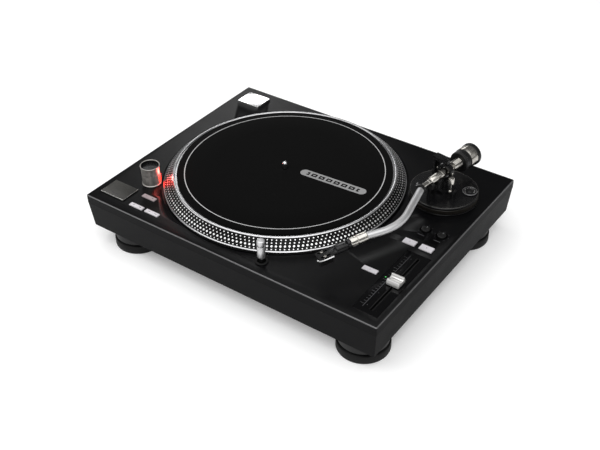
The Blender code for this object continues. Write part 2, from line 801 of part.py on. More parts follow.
def make_rest_clip(arm):
    """The hook that closes over the arm. It hangs open beside the saddle, on the platter side."""
    hinge_x, hinge_z, opened = -6.5, -5.5, 172.0
    centre = (-hinge_x, -hinge_z)
    outline = arc_points(5.8, 15, 205, 14, centre) + arc_points(4.2, 205, 15, 14, centre)
    hook = upright(slab(outline, -1.9, 1.9))
    tipped(hook, -opened, "Y")
    place = Vector((hinge_x, -REST_DISTANCE, hinge_z)) * MM
    part = add_part("arm_rest_clip", hook, "steel", place, arm)
    join(part, along_y(cylinder(1.5, -1.9, 1.9, 16)), "eye")
    shank = box((-0.8, -1.9, 0.2), (0.8, 1.9, 4.2))
    join(part, tipped(shank, 24 - opened, "Y"), "shank")


# Tonearm


def make_gimbal(arm):
    """The fixed yoke, and the ring that turns in it between an upper and a lower point."""
    down = -PIVOT_Z
    base = ARM_PLATE_TOP + GAP + down
    foot = [(0, base), (12.5, base), (12.5, base + 2.6), (5, base + 4), (4, 25.6 + down), (0, 25.6 + down)]
    yoke = add_part("gimbal_yoke", turned(foot, 32), "black metal", (0, 0, 0), arm)
    join(yoke, box((-19.5, -4.0, base), (-14.6, 6.5, BRIDGE_TOP - 1), corner=1.2), "post")
    join(yoke, box((-15.5, -2.5, base), (-8, 5.5, base + 2.6)), "foot_bar")
    outline = [(-19.5, -4.0), (-8.0, -4.0), (3.4, -2.6), (3.4, 2.6), (-6.0, 6.5), (-19.5, 6.5)]
    join(yoke, slab(outline, BRIDGE_LOW, BRIDGE_TOP), "bridge")
    join(yoke, cylinder(2.3, BRIDGE_TOP - 1, BRIDGE_TOP + 2.0, 16), "upper_screw")
    gimbal = along_y(ring(GIMBAL_BORE, GIMBAL_RADIUS, -3.6, 3.6, 40))
    part = add_part("gimbal_ring", gimbal, "black metal", (0, 0, 0), arm)
    inside, screw_end = GIMBAL_RADIUS - 0.8, GIMBAL_RADIUS + 1.6
    join(part, cylinder(2.0, inside, BRIDGE_LOW - GAP, 16), "upper_point")
    join(part, cylinder(2.2, 25.9 + down, -inside, 16), "lower_point")
    join(part, along_x(cylinder(2.4, inside, screw_end, 16)), "right_screw")
    join(part, along_x(cylinder(2.4, -screw_end, -inside, 16)), "left_screw")


def make_arm_sleeve(arm):
    """The bright sleeve through the gimbal, and the narrow neck that lies in the rest."""
    front, neck, back = 31.0, 51.2, 12.0
    profile = [
        (0, -neck),
        (NARROW_RADIUS, -neck),
        (NARROW_RADIUS, -front - 1.2),
        (SLEEVE_RADIUS, -front),
        (SLEEVE_RADIUS, back),
        (0, back),
    ]
    sleeve = add_part("arm_sleeve", along_y(turned(profile, 28)), "chrome", (0, 0, 0), arm)
    reach = GIMBAL_BORE - GAP
    join(sleeve, along_x(cylinder(1.5, -reach, reach, 16)), "cross_axle")
    black = [(0, -56.6), (5.8, -56.6), (6.2, -55.9), (6.2, -52.2), (5.8, -51.5), (0, -51.5)]
    joint_ring = moved(along_y(turned(black, 28)), 1.6)
    add_part("arm_joint_ring", joint_ring, "black plastic", (0, 0, 0), arm)


def tube_line():
    """The S-shaped centre line: outwards, round one long bend, and back in to the headshell."""
    out, inward = math.radians(TUBE_OUT_ANGLE), math.radians(TUBE_IN_ANGLE)
    x, y = TUBE_START
    points = []
    for i in range(5):
        run = TUBE_FIRST_RUN * i / 4
        points.append((x + run * math.sin(out), y - run * math.cos(out), 0.0))
    x, y, _ = points[-1]
    steps = 12
    for i in range(1, steps + 1):
        slope = out - (out + inward) * i / steps
        across = TUBE_BEND_RADIUS * (math.cos(slope) - math.cos(out))
        along = TUBE_BEND_RADIUS * (math.sin(out) - math.sin(slope))
        points.append((x + across, y - along, 0.0))
    x, y, _ = points[-1]
    for i in (1, 2):
        run = TUBE_LAST_RUN * i / 2
        points.append((x - run * math.sin(inward), y - run * math.cos(inward), 0.0))
    return points


def make_arm_tube(arm):
    tube = swept(tube_line(), TUBE_RADIUS, 20)
    add_part("arm_tube", tube, "satin aluminium", (0, 0, 0), arm)


def headshell_axis(arm):
    """An empty where the tube ends, with -Y straight along the headshell."""
    x, y, _ = tube_line()[-1]
    end = axis_empty("headshell_axis", Vector((x, y, 0)) * MM, -HEADSHELL_ANGLE, arm)
    end.rotation_euler.x = math.radians(HEADSHELL_DROP)
    return end


def make_headshell(arm):
    end = headshell_axis(arm)
    origin = (0, 0, 0)
    nose, waist = -21.0, -12.0
    bore = TUBE_RADIUS + 0.5
    sleeve = [(bore, nose), (5.8, nose), (6.1, nose + 0.5), (6.1, waist), (6.5, waist + 0.6)]
    sleeve += [(6.5, 1.2), (6.0, 1.8), (bore, 1.8)]
    add_part("locking_collar", along_y(turned_ring(sleeve, 28)), "chrome", origin, end)
    plug = [(0, nose - 4), (5.6, nose - 4), (5.6, nose - GAP), (4.2, nose - GAP), (4.2, -1.8), (0, -1.8)]
    shell = add_part("headshell", along_y(turned(plug, 24)), "black metal", origin, end)
    tip = HEADSHELL_TIP
    outline = [(-5.2, -23), (-7.4, -28), (-7.4, tip + 3), (-5.6, tip), (5.6, tip), (7.4, tip + 3)]
    outline += [(7.4, -28), (5.2, -23)]
    join(shell, slab(outline, -2.6, -0.2), "plate")
    join(shell, box((-4.2, -41, -2), (4.2, -22.5, 2.4), corner=1.5, top_edge=1.0), "spine")
    slots = [box((x - 1.3, tip + 3.5, -6), (x + 1.3, tip + 16, 3)) for x in (-4.4, 4.4)]
    cut(shell, gathered(slots), "slots")
    line = [(9.1, tip + 18, -1.6), (9.3, tip + 10, -1.4), (9.5, tip + 4, -1.0)]
    line += [(9.7, tip - 0.5, 0.2), (9.8, tip - 3.5, 2.6)]
    lift = add_part("finger_lift", swept(line, 0.9, 10), "bare aluminium", origin, end)
    join(lift, box((7.6, tip + 14.5, -2.3), (9.5, tip + 18.8, -0.9)), "root")
    body = box((-6, tip + 1.6, -12.4), (6, tip + 19, -2.9), corner=1.0)
    add_part("cartridge", body, "black plastic", origin, end)
    side = [(2.6, -12.7), (14, -12.7), (14, -13.6), (6.8, -14.0), (5.6, -15.0), (5, -14.0)]
    holder = slab([(-tip - y, z) for y, z in side], -2.4, 2.4)
    tipped(holder, 90, "X")
    tipped(holder, -90, "Z")
    add_part("stylus", holder, "white plastic", origin, end)


def make_counterweight(arm):
    """The rear shaft, the scale ring and the weight that screws along the shaft."""
    start, end = 12.4, 46.4
    shaft = [(0, start), (SHAFT_RADIUS, start), (SHAFT_RADIUS, end - 1), (SHAFT_RADIUS - 1, end), (0, end)]
    add_part("counterweight_shaft", along_y(turned(shaft, 28)), "chrome", (0, 0, 0), arm)
    bore = SHAFT_RADIUS + 0.4
    dial_front, dial_back = 27.5, 37.0
    dial = [(bore, dial_front), (12.8, dial_front), (14.0, dial_front + 1.1)]
    dial += [(14.0, dial_back), (bore, dial_back)]
    add_part("force_dial", along_y(turned_ring(dial, 36)), "black plastic", (0, 0, 0), arm)
    front, rear = dial_back + GAP, 58.5
    weight = [
        (0, rear),
        (14.2, rear),
        (15.4, rear - 1.2),
        (15.4, rear - 6.0),
        (14.6, rear - 6.5),
        (14.6, front + 1.1),
        (13.6, front),
        (bore, front),
        (bore, rear - 2.5),
        (0, rear - 2.5),
    ]
    add_part("counterweight", along_y(turned(weight[::-1], 36)), "steel", (0, 0, 0), arm)


# Rear connections and electronics


def make_rear():
    face, floor = REAR_FACE, REAR_FACE - 12.0
    body = box((-14, face - 25, -10), (14, face, 10), corner=2.0)
    inlet = add_part("power_inlet", body, "black plastic", world(INLET_X, 0, INLET_Z))
    cut(inlet, box((-12, face - 18, -8), (12, face + 2, 8)), "socket")
    pins = []
    for x, z in ((-7, -1.5), (7, -1.5), (0, 2.5)):
        pins.append(box((x - 1, face - 20, z - 2), (x + 1, face - 7, z + 2)))
    join(inlet, gathered(pins), "pins")
    bay_at = world(BAY_X, 0, BAY_Z)
    tray = add_part("rear_panel", box((-35, floor - 2, -11), (35, face, 11)), "black plastic", bay_at)
    cut(tray, box((-33.4, floor, -9.4), (33.4, face + 2, 9.4)), "bay")
    front = floor + GAP
    socket = [
        (0, front),
        (6.2, front),
        (6.2, front + 1.8),
        (4.2, front + 1.8),
        (4.2, front + 9.5),
        (1.7, front + 9.5),
        (1.7, front + 2.5),
        (0, front + 2.5),
    ]
    for name, x in SOCKETS.items():
        add_part(name, along_y(turned(socket, 24)), "brass", world(x, 0, BAY_Z))
    nut = [(0, front), (2.0, front), (2.0, front + 2), (4.2, front + 2), (4.2, front + 7.5), (0, front + 7.5)]
    add_part("ground_terminal", along_y(turned(nut, 16)), "chrome", world(GROUND_X, 0, BAY_Z))


def make_electronics():
    board = box((-115, -168, -40), (30, -112, -38.4))
    part = add_part("main_board", board, "circuit board")
    chips = []
    for x, y, size, height in (
        (-95, -150, 9, 3),
        (-60, -140, 7, 2),
        (-25, -148, 8, 9),
        (5, -135, 5, 12),
        (-95, -124, 6, 6),
    ):
        chips.append(box((x - size, y - size, -39), (x + size, y + size, -38.4 + height)))
    join(part, gathered(chips), "components")
    supply = box((-205, 60, -46), (-128, 146, -22), corner=3.0, top_edge=1.0)
    add_part("power_supply", supply, "steel")


def main():
    clear_scene()
    make_top_plate()
    make_fader_panel()
    make_plinth()
    make_base_plate()
    make_feet()
    make_motor()
    make_platter()
    make_buttons()
    make_time_knobs()
    make_pitch_fader()
    make_strobe()
    make_target_lamp()
    make_arm_flange()
    make_height_lock()
    arm = axis_empty("arm_axis", world(PIVOT_X, PIVOT_Y, PIVOT_Z), ARM_REST_ANGLE)
    make_arm_base(arm)
    make_lift_platform(arm)
    make_cue_lever(arm)
    make_antiskate_dial(arm)
    make_arm_rest(arm)
    make_rest_clip(arm)
    make_gimbal(arm)
    make_arm_sleeve(arm)
    make_arm_tube(arm)
    make_headshell(arm)
    make_counterweight(arm)
    make_rear()
    make_electronics()


main()
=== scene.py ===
# %% [markdown]
# # A direct-drive record player, dressed for a studio picture
#
# The solid parts are already modelled and packed, with their joints. This notebook loads them as
# a fixed frame and gives every surface the look of the real thing. Pieces whose fine shape
# matters, such as the dotted platter and the bent tube of the arm, are made again with more
# detail and put in the place of the plain solids. Lengths are in metres, +Z is up.

# %% Load the frame
import json
import math

import bmesh
import bpy
from mathutils import Matrix, Vector


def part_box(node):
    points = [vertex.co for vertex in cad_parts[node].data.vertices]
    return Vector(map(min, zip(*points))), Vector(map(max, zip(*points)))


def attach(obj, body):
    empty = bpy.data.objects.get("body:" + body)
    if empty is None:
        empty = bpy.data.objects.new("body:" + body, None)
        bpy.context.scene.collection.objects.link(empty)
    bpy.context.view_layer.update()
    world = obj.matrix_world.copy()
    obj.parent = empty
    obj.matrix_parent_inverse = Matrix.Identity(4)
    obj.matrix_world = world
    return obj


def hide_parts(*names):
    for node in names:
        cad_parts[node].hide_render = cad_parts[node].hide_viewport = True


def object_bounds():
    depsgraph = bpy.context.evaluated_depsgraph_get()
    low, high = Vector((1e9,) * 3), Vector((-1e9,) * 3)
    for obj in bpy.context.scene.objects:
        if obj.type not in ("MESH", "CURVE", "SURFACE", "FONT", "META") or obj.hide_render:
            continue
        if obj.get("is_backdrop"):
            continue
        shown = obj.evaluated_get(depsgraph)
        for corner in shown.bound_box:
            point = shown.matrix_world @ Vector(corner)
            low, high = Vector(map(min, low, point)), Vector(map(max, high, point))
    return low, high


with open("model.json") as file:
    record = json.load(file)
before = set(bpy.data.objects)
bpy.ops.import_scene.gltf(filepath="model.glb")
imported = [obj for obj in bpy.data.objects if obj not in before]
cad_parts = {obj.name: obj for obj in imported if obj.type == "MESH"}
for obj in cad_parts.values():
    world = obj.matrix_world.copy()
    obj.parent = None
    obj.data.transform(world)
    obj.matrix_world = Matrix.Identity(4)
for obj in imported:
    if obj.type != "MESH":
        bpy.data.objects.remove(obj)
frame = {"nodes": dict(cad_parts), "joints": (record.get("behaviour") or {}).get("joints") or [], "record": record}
cad_low, cad_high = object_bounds()
print("size in mm:", [round(1000 * (b - a), 1) for a, b in zip(cad_low, cad_high)])

# %% [markdown]
# ## The camera
#
# A product picture is taken from a little above and to one side. A long lens, here about 57 mm on
# a full-frame sensor, keeps the far edge of the deck nearly as wide as the near one. The camera is
# given by where it stands and the way it faces: a heading round the vertical, a tilt down, and a
# small roll, because the horizon of a hand-set tripod is seldom quite level.

# %% Camera
MM = 0.001
CAMERA_PLACE = Vector((0.61794, -0.86064, 0.82149))
CAMERA_HEADING, CAMERA_TILT, CAMERA_ROLL = (math.radians(a) for a in (-35.84, 37.37, -0.818))
LENS_MM = 57.34

facing = Vector((
    math.sin(CAMERA_HEADING) * math.cos(CAMERA_TILT),
    math.cos(CAMERA_HEADING) * math.cos(CAMERA_TILT),
    -math.sin(CAMERA_TILT),
))
level_right = Vector((math.cos(CAMERA_HEADING), -math.sin(CAMERA_HEADING), 0.0))
level_up = level_right.cross(facing)
right = math.cos(CAMERA_ROLL) * level_right + math.sin(CAMERA_ROLL) * level_up
up = -math.sin(CAMERA_ROLL) * level_right + math.cos(CAMERA_ROLL) * level_up
camera_data = bpy.data.cameras.new("studio_camera")
camera_data.lens = LENS_MM
camera_data.sensor_width = 36.0
camera = bpy.data.objects.new("studio_camera", camera_data)
turn = Matrix((right, up, -facing)).transposed().to_4x4()
camera.matrix_world = Matrix.Translation(CAMERA_PLACE) @ turn
bpy.context.scene.collection.objects.link(camera)
bpy.context.scene.camera = camera
print("camera looks down by", round(math.degrees(CAMERA_TILT), 1), "degrees")

# %% [markdown]
# ## The studio
#
# The floor is one big pale sheet. It is lit, and glows a little itself, until it is nearly white.
# The main light is a wide soft box overhead, with weaker ones in front and at the sides. Dark
# paint shows little of its own colour and mirrors whatever is behind it, so nothing bright stands
# there but one small box at the rear left, which lays a soft sheen on that end of the deck.

# %% Floor and lights
def light_box(name, place, target, size, power, colour=(1.0, 1.0, 1.0)):
    """A soft box: a large area light that faces a target."""
    data = bpy.data.lights.new(name, "AREA")
    data.shape = "RECTANGLE"
    data.size, data.size_y = size
    data.energy = power
    data.color = colour
    lamp = bpy.data.objects.new(name, data)
    lamp.location = place
    aim = Vector(target) - Vector(place)
    lamp.rotation_euler = aim.to_track_quat("-Z", "Y").to_euler()
    bpy.context.scene.collection.objects.link(lamp)
    return lamp


floor_sheet = bmesh.new()
bmesh.ops.create_grid(floor_sheet, x_segments=4, y_segments=4, size=6.0)
floor_mesh = bpy.data.meshes.new("studio_floor")
floor_sheet.to_mesh(floor_mesh)
floor_sheet.free()
floor = bpy.data.objects.new("studio_floor", floor_mesh)
bpy.context.scene.collection.objects.link(floor)
floor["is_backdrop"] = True
floor_paint = bpy.data.materials.new("pale_studio_paper")
floor_paint.use_nodes = True
floor_shader = floor_paint.node_tree.nodes["Principled BSDF"]
floor_shader.inputs["Base Color"].default_value = (0.93, 0.93, 0.93, 1.0)
floor_shader.inputs["Roughness"].default_value = 0.9
floor_shader.inputs["Specular IOR Level"].default_value = 0.1
floor_shader.inputs["Emission Color"].default_value = (1.0, 1.0, 1.0, 1.0)
floor_shader.inputs["Emission Strength"].default_value = 0.14
floor_mesh.materials.append(floor_paint)

world = bpy.data.worlds.new("studio_air")
world.use_nodes = True
world.node_tree.nodes["Background"].inputs["Color"].default_value = (1.0, 1.0, 1.0, 1.0)
world.node_tree.nodes["Background"].inputs["Strength"].default_value = 0.16
bpy.context.scene.world = world
light_box("top_box", (0.5, -0.9, 2.6), (0.5, -0.9, 0), (5.0, 4.0), 120)
light_box("front_box", (1.5, -2.9, 1.5), (0, 0, 0.05), (2.6, 1.6), 26)
light_box("left_box", (-2.4, -1.4, 1.3), (0, 0, 0.05), (2.0, 1.6), 16)
light_box("right_box", (2.5, 0.6, 1.2), (0, 0, 0.05), (1.8, 1.4), 4)
light_box("back_left_box", (-1.84, 2.04, 1.54), (-0.19, 0.1, 0.08), (0.74, 0.66), 6.4)
bpy.context.scene.view_settings.view_transform = "Standard"

# %% [markdown]
# ## Finishes
#
# A real surface is never one flat colour. Its colour, its gloss and its relief all vary a little,
# and the size of the grain tells the eye what it is made of. One function builds every plain
# finish from these: a fine grain given in millimetres, a broad mottle for handling and age, and a
# shallow relief. Turned parts get their grain in rings round a centre, as the lathe leaves it.

# %% The tools that finishes are made with
def linear(hex_colour):
    """A colour as typed in a paint program, in the linear light that the renderer works with."""
    channels = [int(hex_colour[i:i + 2], 16) / 255 for i in (1, 3, 5)]
    lit = [c / 12.92 if c <= 0.04045 else ((c + 0.055) / 1.055) ** 2.4 for c in channels]
    return (*lit, 1.0)


def add_node(tree, kind, inputs=None, **settings):
    """Adds one shader node. An input is either a number or the socket that feeds it."""
    node = tree.nodes.new(kind)
    for key, value in settings.items():
        setattr(node, key, value)
    for key, value in (inputs or {}).items():
        if isinstance(value, bpy.types.NodeSocket):
            tree.links.new(value, node.inputs[key])
        else:
            node.inputs[key].default_value = value
    return node


def maths(tree, operation, *values):
    inputs = dict(enumerate(values))
    return add_node(tree, "ShaderNodeMath", inputs, operation=operation).outputs[0]


def radius_about(tree, place, centre):
    """The distance of each point from an upright axis through a centre."""
    offset = add_node(
        tree, "ShaderNodeVectorMath", {0: place, 1: (*centre, 0.0)}, operation="SUBTRACT"
    )
    parts = add_node(tree, "ShaderNodeSeparateXYZ", {0: offset.outputs[0]}).outputs
    squares = [maths(tree, "MULTIPLY", parts[i], parts[i]) for i in (0, 1)]
    return maths(tree, "SQRT", maths(tree, "ADD", *squares))


def finish(name, dark, light, roughness, metallic=0.0, grain=0.5, relief=0.01, stretch=(1, 1, 1),
           rings=None, specular=0.5, coat=0.0):
    """A finish between two colours. Grain and relief are in millimetres."""
    material = bpy.data.materials.new(name)
    material.use_nodes = True
    tree = material.node_tree
    shader = tree.nodes["Principled BSDF"]
    place = add_node(tree, "ShaderNodeTexCoord").outputs["Object"]
    pattern = place
    if rings is not None:
        away = radius_about(tree, place, rings)
        pattern = add_node(tree, "ShaderNodeCombineXYZ", {0: away}).outputs[0]
    pattern = add_node(tree, "ShaderNodeMapping", {"Vector": pattern, "Scale": stretch}).outputs[0]
    fine = add_node(
        tree, "ShaderNodeTexNoise", {"Vector": pattern, "Scale": 1 / (grain * MM), "Detail": 3.0}
    ).outputs["Fac"]
    broad = add_node(
        tree, "ShaderNodeTexNoise", {"Vector": place, "Scale": 1 / (35 * MM), "Detail": 2.0}
    ).outputs["Fac"]
    mixed = maths(tree, "ADD", maths(tree, "MULTIPLY", fine, 0.65), maths(tree, "MULTIPLY", broad, 0.35))
    ramp = add_node(tree, "ShaderNodeValToRGB", {"Fac": mixed})
    ramp.color_ramp.elements[0].position = 0.3
    ramp.color_ramp.elements[0].color = linear(dark)
    ramp.color_ramp.elements[1].position = 0.7
    ramp.color_ramp.elements[1].color = linear(light)
    gloss = add_node(
        tree,
        "ShaderNodeMapRange",
        {"Value": mixed, "From Min": 0.3, "From Max": 0.7, "To Min": roughness * 0.85,
         "To Max": min(1.0, roughness * 1.15)},
    )
    height = add_node(
        tree, "ShaderNodeBump", {"Height": fine, "Strength": 0.6, "Distance": relief * MM}
    )
    tree.links.new(ramp.outputs["Color"], shader.inputs["Base Color"])
    tree.links.new(gloss.outputs["Result"], shader.inputs["Roughness"])
    tree.links.new(height.outputs["Normal"], shader.inputs["Normal"])
    shader.inputs["Metallic"].default_value = metallic
    if not metallic:
        shader.inputs["Specular IOR Level"].default_value = specular
    shader.inputs["Coat Weight"].default_value = coat
    shader.inputs["Coat Roughness"].default_value = 0.08
    return material


def glowing(name, colour, strength, glass):
    """A lens lit from behind: clear coloured plastic that gives off its own light."""
    material = finish(name, colour, colour, 0.15, grain=0.8, relief=0.004, specular=0.5, coat=glass)
    shader = material.node_tree.nodes["Principled BSDF"]
    shader.inputs["Emission Color"].default_value = linear(colour)
    shader.inputs["Emission Strength"].default_value = strength
    return material


# %% [markdown]
# ### The paints, metals and plastics
#
# The deck is cast aluminium under a fine-textured paint, which is nearly black and only half
# glossy, so its gloss is turned down. Bare metal keeps the full strength of its mirror, and only
# the roughness tells chrome (almost none) from blasted aluminium (a lot).

# %% Make the finishes
joints = {joint["name"]: joint for joint in frame["joints"]}
spindle = Vector(joints["platter_spin"]["pos_m"])
hub = (spindle.x, spindle.y)

# Powder paint on the cast deck: fine texture, low gloss.
deck_paint = finish("textured_deck_paint", "#020203", "#070708", 0.34, grain=0.6, relief=0.06, specular=0.12)
# The same paint over an edge, where it is thin and polished by hands, so it is glossier; its lighter colour there
# is a painted highlight.
deck_edge_highlight_paint = finish("edge_paint_with_painted_highlight", "#3a3a3b", "#565657", 0.2, grain=0.6, relief=0.01, specular=1.0)
# Satin black enamel on the plinth's walls.
plinth_paint = finish("satin_plinth_paint", "#060607", "#141415", 0.6, grain=0.9, relief=0.08, specular=0.07)
# Moulded rubber of the feet, with a matt skin.
rubber = finish("moulded_rubber", "#050505", "#0d0d0d", 0.62, grain=0.9, relief=0.03, specular=0.2)
# Blasted rubber rim of the feet's upper tier, worn a little paler.
foot_rim = finish("worn_foot_rim", "#0b0b0b", "#1a1a1a", 0.48, grain=0.8, relief=0.02, specular=0.3)
# Cast platter, turned on a lathe and polished: rings of fine scratches.
turned_aluminium = finish(
    "turned_platter_metal", "#b4b4b6", "#d2d2d3", 0.27, metallic=1.0, grain=0.3, relief=0.003, rings=hub
)
# The dark belt between the dots is etched and painted black.
belt_paint = finish("black_dot_belt", "#040404", "#0a0a0a", 0.4, grain=0.5, relief=0.01, specular=0.15)
# The dots are left standing when the belt is etched, and their tops stay bright.
dot_metal = finish("bright_dot_metal", "#dcdcdc", "#f4f4f4", 0.4, metallic=1.0, grain=0.4, relief=0.004)
# Chrome plate on brass or steel.
chrome = finish("chrome_plate", "#a9a6a0", "#cfccc6", 0.2, metallic=1.0, grain=1.5, relief=0.002)
# Aluminium tube, blasted with fine beads and clear anodised.
satin_tube = finish("blasted_tube", "#c4c4c5", "#dcdcdd", 0.46, metallic=1.0, grain=0.25, relief=0.008)
# Ground steel of the counterweight, with the marks of the grinding along it.
ground_steel = finish(
    "ground_steel", "#8f8c86", "#c9c6c0", 0.22, metallic=1.0, grain=0.7, relief=0.004, stretch=(1, 0.1, 1)
)
# Ground steel of the spindle and the clip of the arm's rest.
polished_steel = finish("polished_steel", "#c6c6c8", "#ececec", 0.16, metallic=1.0, grain=0.8, relief=0.002)
# Brushed aluminium: the grain is drawn out along X by the belt that brushed it; its dark grey colour is painted
# shade.
shaded_brushed_metal = finish(
    "brushed_button_metal_painted_shade", "#474644", "#62615e", 0.36, metallic=1.0, grain=0.35, relief=0.006,
    stretch=(0.06, 1, 1),
)
# Machined aluminium of the strobe tower and its dial.
machined = finish("machined_aluminium", "#a09d99", "#c6c3be", 0.5, metallic=1.0, grain=0.5, relief=0.004,
                  stretch=(1, 1, 0.12))
# Black anodised metal of the arm's base and bearing.
black_anodised = finish(
    "black_anodised_metal", "#050506", "#0f0f10", 0.26, grain=0.5, relief=0.006, specular=0.35
)
# Black anodised ribs, given a paler, brownish black than the other anodised parts.
rib_metal = finish("ribbed_ring_metal", "#14120f", "#2c2924", 0.34, metallic=0.5, grain=0.6, relief=0.008)
# Fine-grained black plastic: dials, rests, knobs.
black_plastic = finish(
    "grained_black_plastic", "#060606", "#0f0f0f", 0.4, grain=0.4, relief=0.012, specular=0.3
)
# Polished black plastic of the fader panel.
gloss_black = finish("gloss_black_panel", "#030304", "#060607", 0.14, grain=2.0, relief=0.002, specular=0.2)
# Translucent silver-white key caps.
key_white = finish("silver_white_key", "#b9b6ba", "#d3d0d4", 0.3, grain=0.6, relief=0.004, coat=0.3)
key_grey = finish("rose_grey_key", "#8d8083", "#a59a9c", 0.3, grain=0.6, relief=0.004, coat=0.4)
# Silvered plastic of the fader cap.
silver_cap = finish("silvered_cap", "#cdccca", "#efeeec", 0.25, metallic=0.6, grain=0.5, relief=0.004)
# White ink for scales and marks, and a greyer one for the small labels.
white_ink = finish("white_print", "#d9d9d9", "#f2f2f2", 0.55, grain=0.2, relief=0.002)
pointer_ink = finish("pointer_print", "#77787a", "#8f9092", 0.6, grain=0.2, relief=0.002)
grey_ink = finish("grey_print", "#3a3a3c", "#4c4c4f", 0.6, grain=0.2, relief=0.002)
dark_ink = finish("dark_print", "#26242a", "#3a383e", 0.6, grain=0.2, relief=0.002)
# White and red plastic of the sockets' rings and the stylus holder.
white_plastic = finish("white_plastic", "#dddcd8", "#eeeeea", 0.35, grain=0.5, relief=0.004, coat=0.2)
red_plastic = finish("red_plastic", "#a01512", "#c0201b", 0.35, grain=0.5, relief=0.004, coat=0.2)
# Brass under the nickel of the sockets, turned.
brass = finish("turned_brass", "#b08a3c", "#d8b564", 0.25, metallic=1.0, grain=0.4, relief=0.004)
# Zinc-plated steel brackets, with their pale mottle.
zinc = finish("zinc_plated_steel", "#9a9c9e", "#c4c6c8", 0.38, metallic=1.0, grain=2.5, relief=0.004)
# Enamelled copper wire, wound in fine turns.
copper = finish("enamelled_copper", "#8d4a26", "#c9733f", 0.3, metallic=1.0, grain=0.4, relief=0.03,
                stretch=(1, 1, 8))
# Sintered magnet, dark and gritty.
ferrite = finish("sintered_ferrite", "#1d1d1f", "#2f2f32", 0.6, grain=0.7, relief=0.02)
# Green lacquer over the fibreglass of the board.
board_lacquer = finish("green_board_lacquer", "#0c3a20", "#14542f", 0.35, grain=1.2, relief=0.01, coat=0.3)
# Hot red lens of the strobe and the small green lamp of the fader.
red_lens = glowing("strobe_red_lens", "#ff3020", 4.0, 0.6)
green_lens = glowing("lock_green_lens", "#4cc860", 0.8, 0.5)
print("finishes:", len([m for m in bpy.data.materials if m.users or m.node_tree]))

# %% [markdown]
# ## Shaping tools
#
# Most of these parts are turned on a lathe, so one function spins an outline round an axis. The
# outline is a list of radius and height in millimetres. The other tools weld a plain solid into a
# smooth one, run a round bar along a line, and lay flat ink on a surface.

# %% The tools that shapes are made with
def lathe(outline, segments=64, hollow=False):
    """Spins (radius, height) points in millimetres round the Z axis."""
    shape = bmesh.new()
    line = [shape.verts.new((r * MM, 0.0, z * MM)) for r, z in outline]
    edges = [shape.edges.new(pair) for pair in zip(line, line[1:])]
    if hollow:
        edges.append(shape.edges.new((line[-1], line[0])))
    bmesh.ops.spin(
        shape, geom=line + edges, cent=(0, 0, 0), axis=(0, 0, 1), angle=math.tau, steps=segments,
        use_merge=True,
    )
    bmesh.ops.remove_doubles(shape, verts=shape.verts, dist=1e-7)
    bmesh.ops.recalc_face_normals(shape, faces=shape.faces)
    return shape


def moved(shape, matrix):
    bmesh.ops.transform(shape, matrix=matrix, verts=shape.verts)
    return shape


def ribbed(shape, count, depth, inner, low, high):
    """Pulls every other column of a turned shape inwards, to cut ribs round its edge."""
    for vert in shape.verts:
        away, z = vert.co.xy.length / MM, vert.co.z / MM
        column = round(math.atan2(vert.co.y, vert.co.x) / math.tau * 2 * count)
        if away > inner and low < z < high and column % 2:
            vert.co.xy *= 1 - depth / away
    return shape


def rounded_block(low, high, corner, segments=3):
    """A block between two corners in millimetres, with all its edges rounded."""
    shape = bmesh.new()
    bmesh.ops.create_cube(shape, size=1.0)
    size = Vector(high) - Vector(low)
    middle = (Vector(high) + Vector(low)) / 2
    bmesh.ops.scale(shape, vec=size * MM, verts=shape.verts)
    bmesh.ops.translate(shape, vec=middle * MM, verts=shape.verts)
    bmesh.ops.bevel(
        shape, geom=shape.edges, offset=corner * MM, segments=segments, profile=0.5, affect="EDGES",
        material=-1,
    )
    return shape


def joined(*shapes):
    """One mesh of several shapes."""
    whole = bmesh.new()
    for shape in shapes:
        mesh = bpy.data.meshes.new("joined")
        shape.to_mesh(mesh)
        shape.free()
        whole.from_mesh(mesh)
        bpy.data.meshes.remove(mesh)
    return whole


def bar(points, radius, sides=16):
    """A round bar along a smooth line of points, in metres, made as a bevelled curve."""
    curve = bpy.data.curves.new("bar", "CURVE")
    curve.dimensions = "3D"
    curve.bevel_depth = radius
    curve.bevel_resolution = sides // 4
    curve.use_fill_caps = True
    spline = curve.splines.new("POLY")
    spline.points.add(len(points) - 1)
    for point, place in zip(spline.points, points):
        point.co = (*place, 1.0)
    holder = bpy.data.objects.new("bar", curve)
    mesh = bpy.data.meshes.new_from_object(holder)
    bpy.data.objects.remove(holder)
    bpy.data.curves.remove(curve)
    shape = bmesh.new()
    shape.from_mesh(mesh)
    bpy.data.meshes.remove(mesh)
    return shape


def piece(name, shape, finishes, body, replaces=(), soften=0.0, sharp=35):
    """Makes an object of a shape and hangs it on a body. Soften rounds its edges, in millimetres."""
    mesh = bpy.data.meshes.new(name)
    shape.to_mesh(mesh)
    shape.free()
    mesh.shade_smooth()
    mesh.set_sharp_from_angle(angle=math.radians(sharp))
    for material in finishes if isinstance(finishes, (list, tuple)) else [finishes]:
        mesh.materials.append(material)
    made = bpy.data.objects.new(name, mesh)
    bpy.context.scene.collection.objects.link(made)
    if soften:
        rounding = made.modifiers.new("rounding", "BEVEL")
        rounding.limit_method = "ANGLE"
        rounding.angle_limit = math.radians(30)
        rounding.width = soften * MM
        rounding.segments = 2
    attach(made, body)
    if replaces:
        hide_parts(*replaces)
    return made


def paint(shape, index, test):
    """Gives a finish to the faces that pass a test of their middle and their direction."""
    for face in shape.faces:
        if test(face.calc_center_median() / MM, face.normal):
            face.material_index = index
    return shape


body_of_node = {
    node: body for body, nodes in frame["record"]["behaviour"]["bodies"].items() for node in nodes
}


def stand_in(node, name, shape, finishes, soften=0.0, sharp=35):
    """Makes a piece in the place of a CAD solid, on the same body."""
    return piece(
        name, shape, finishes, body_of_node[node], [node], soften, sharp
    )


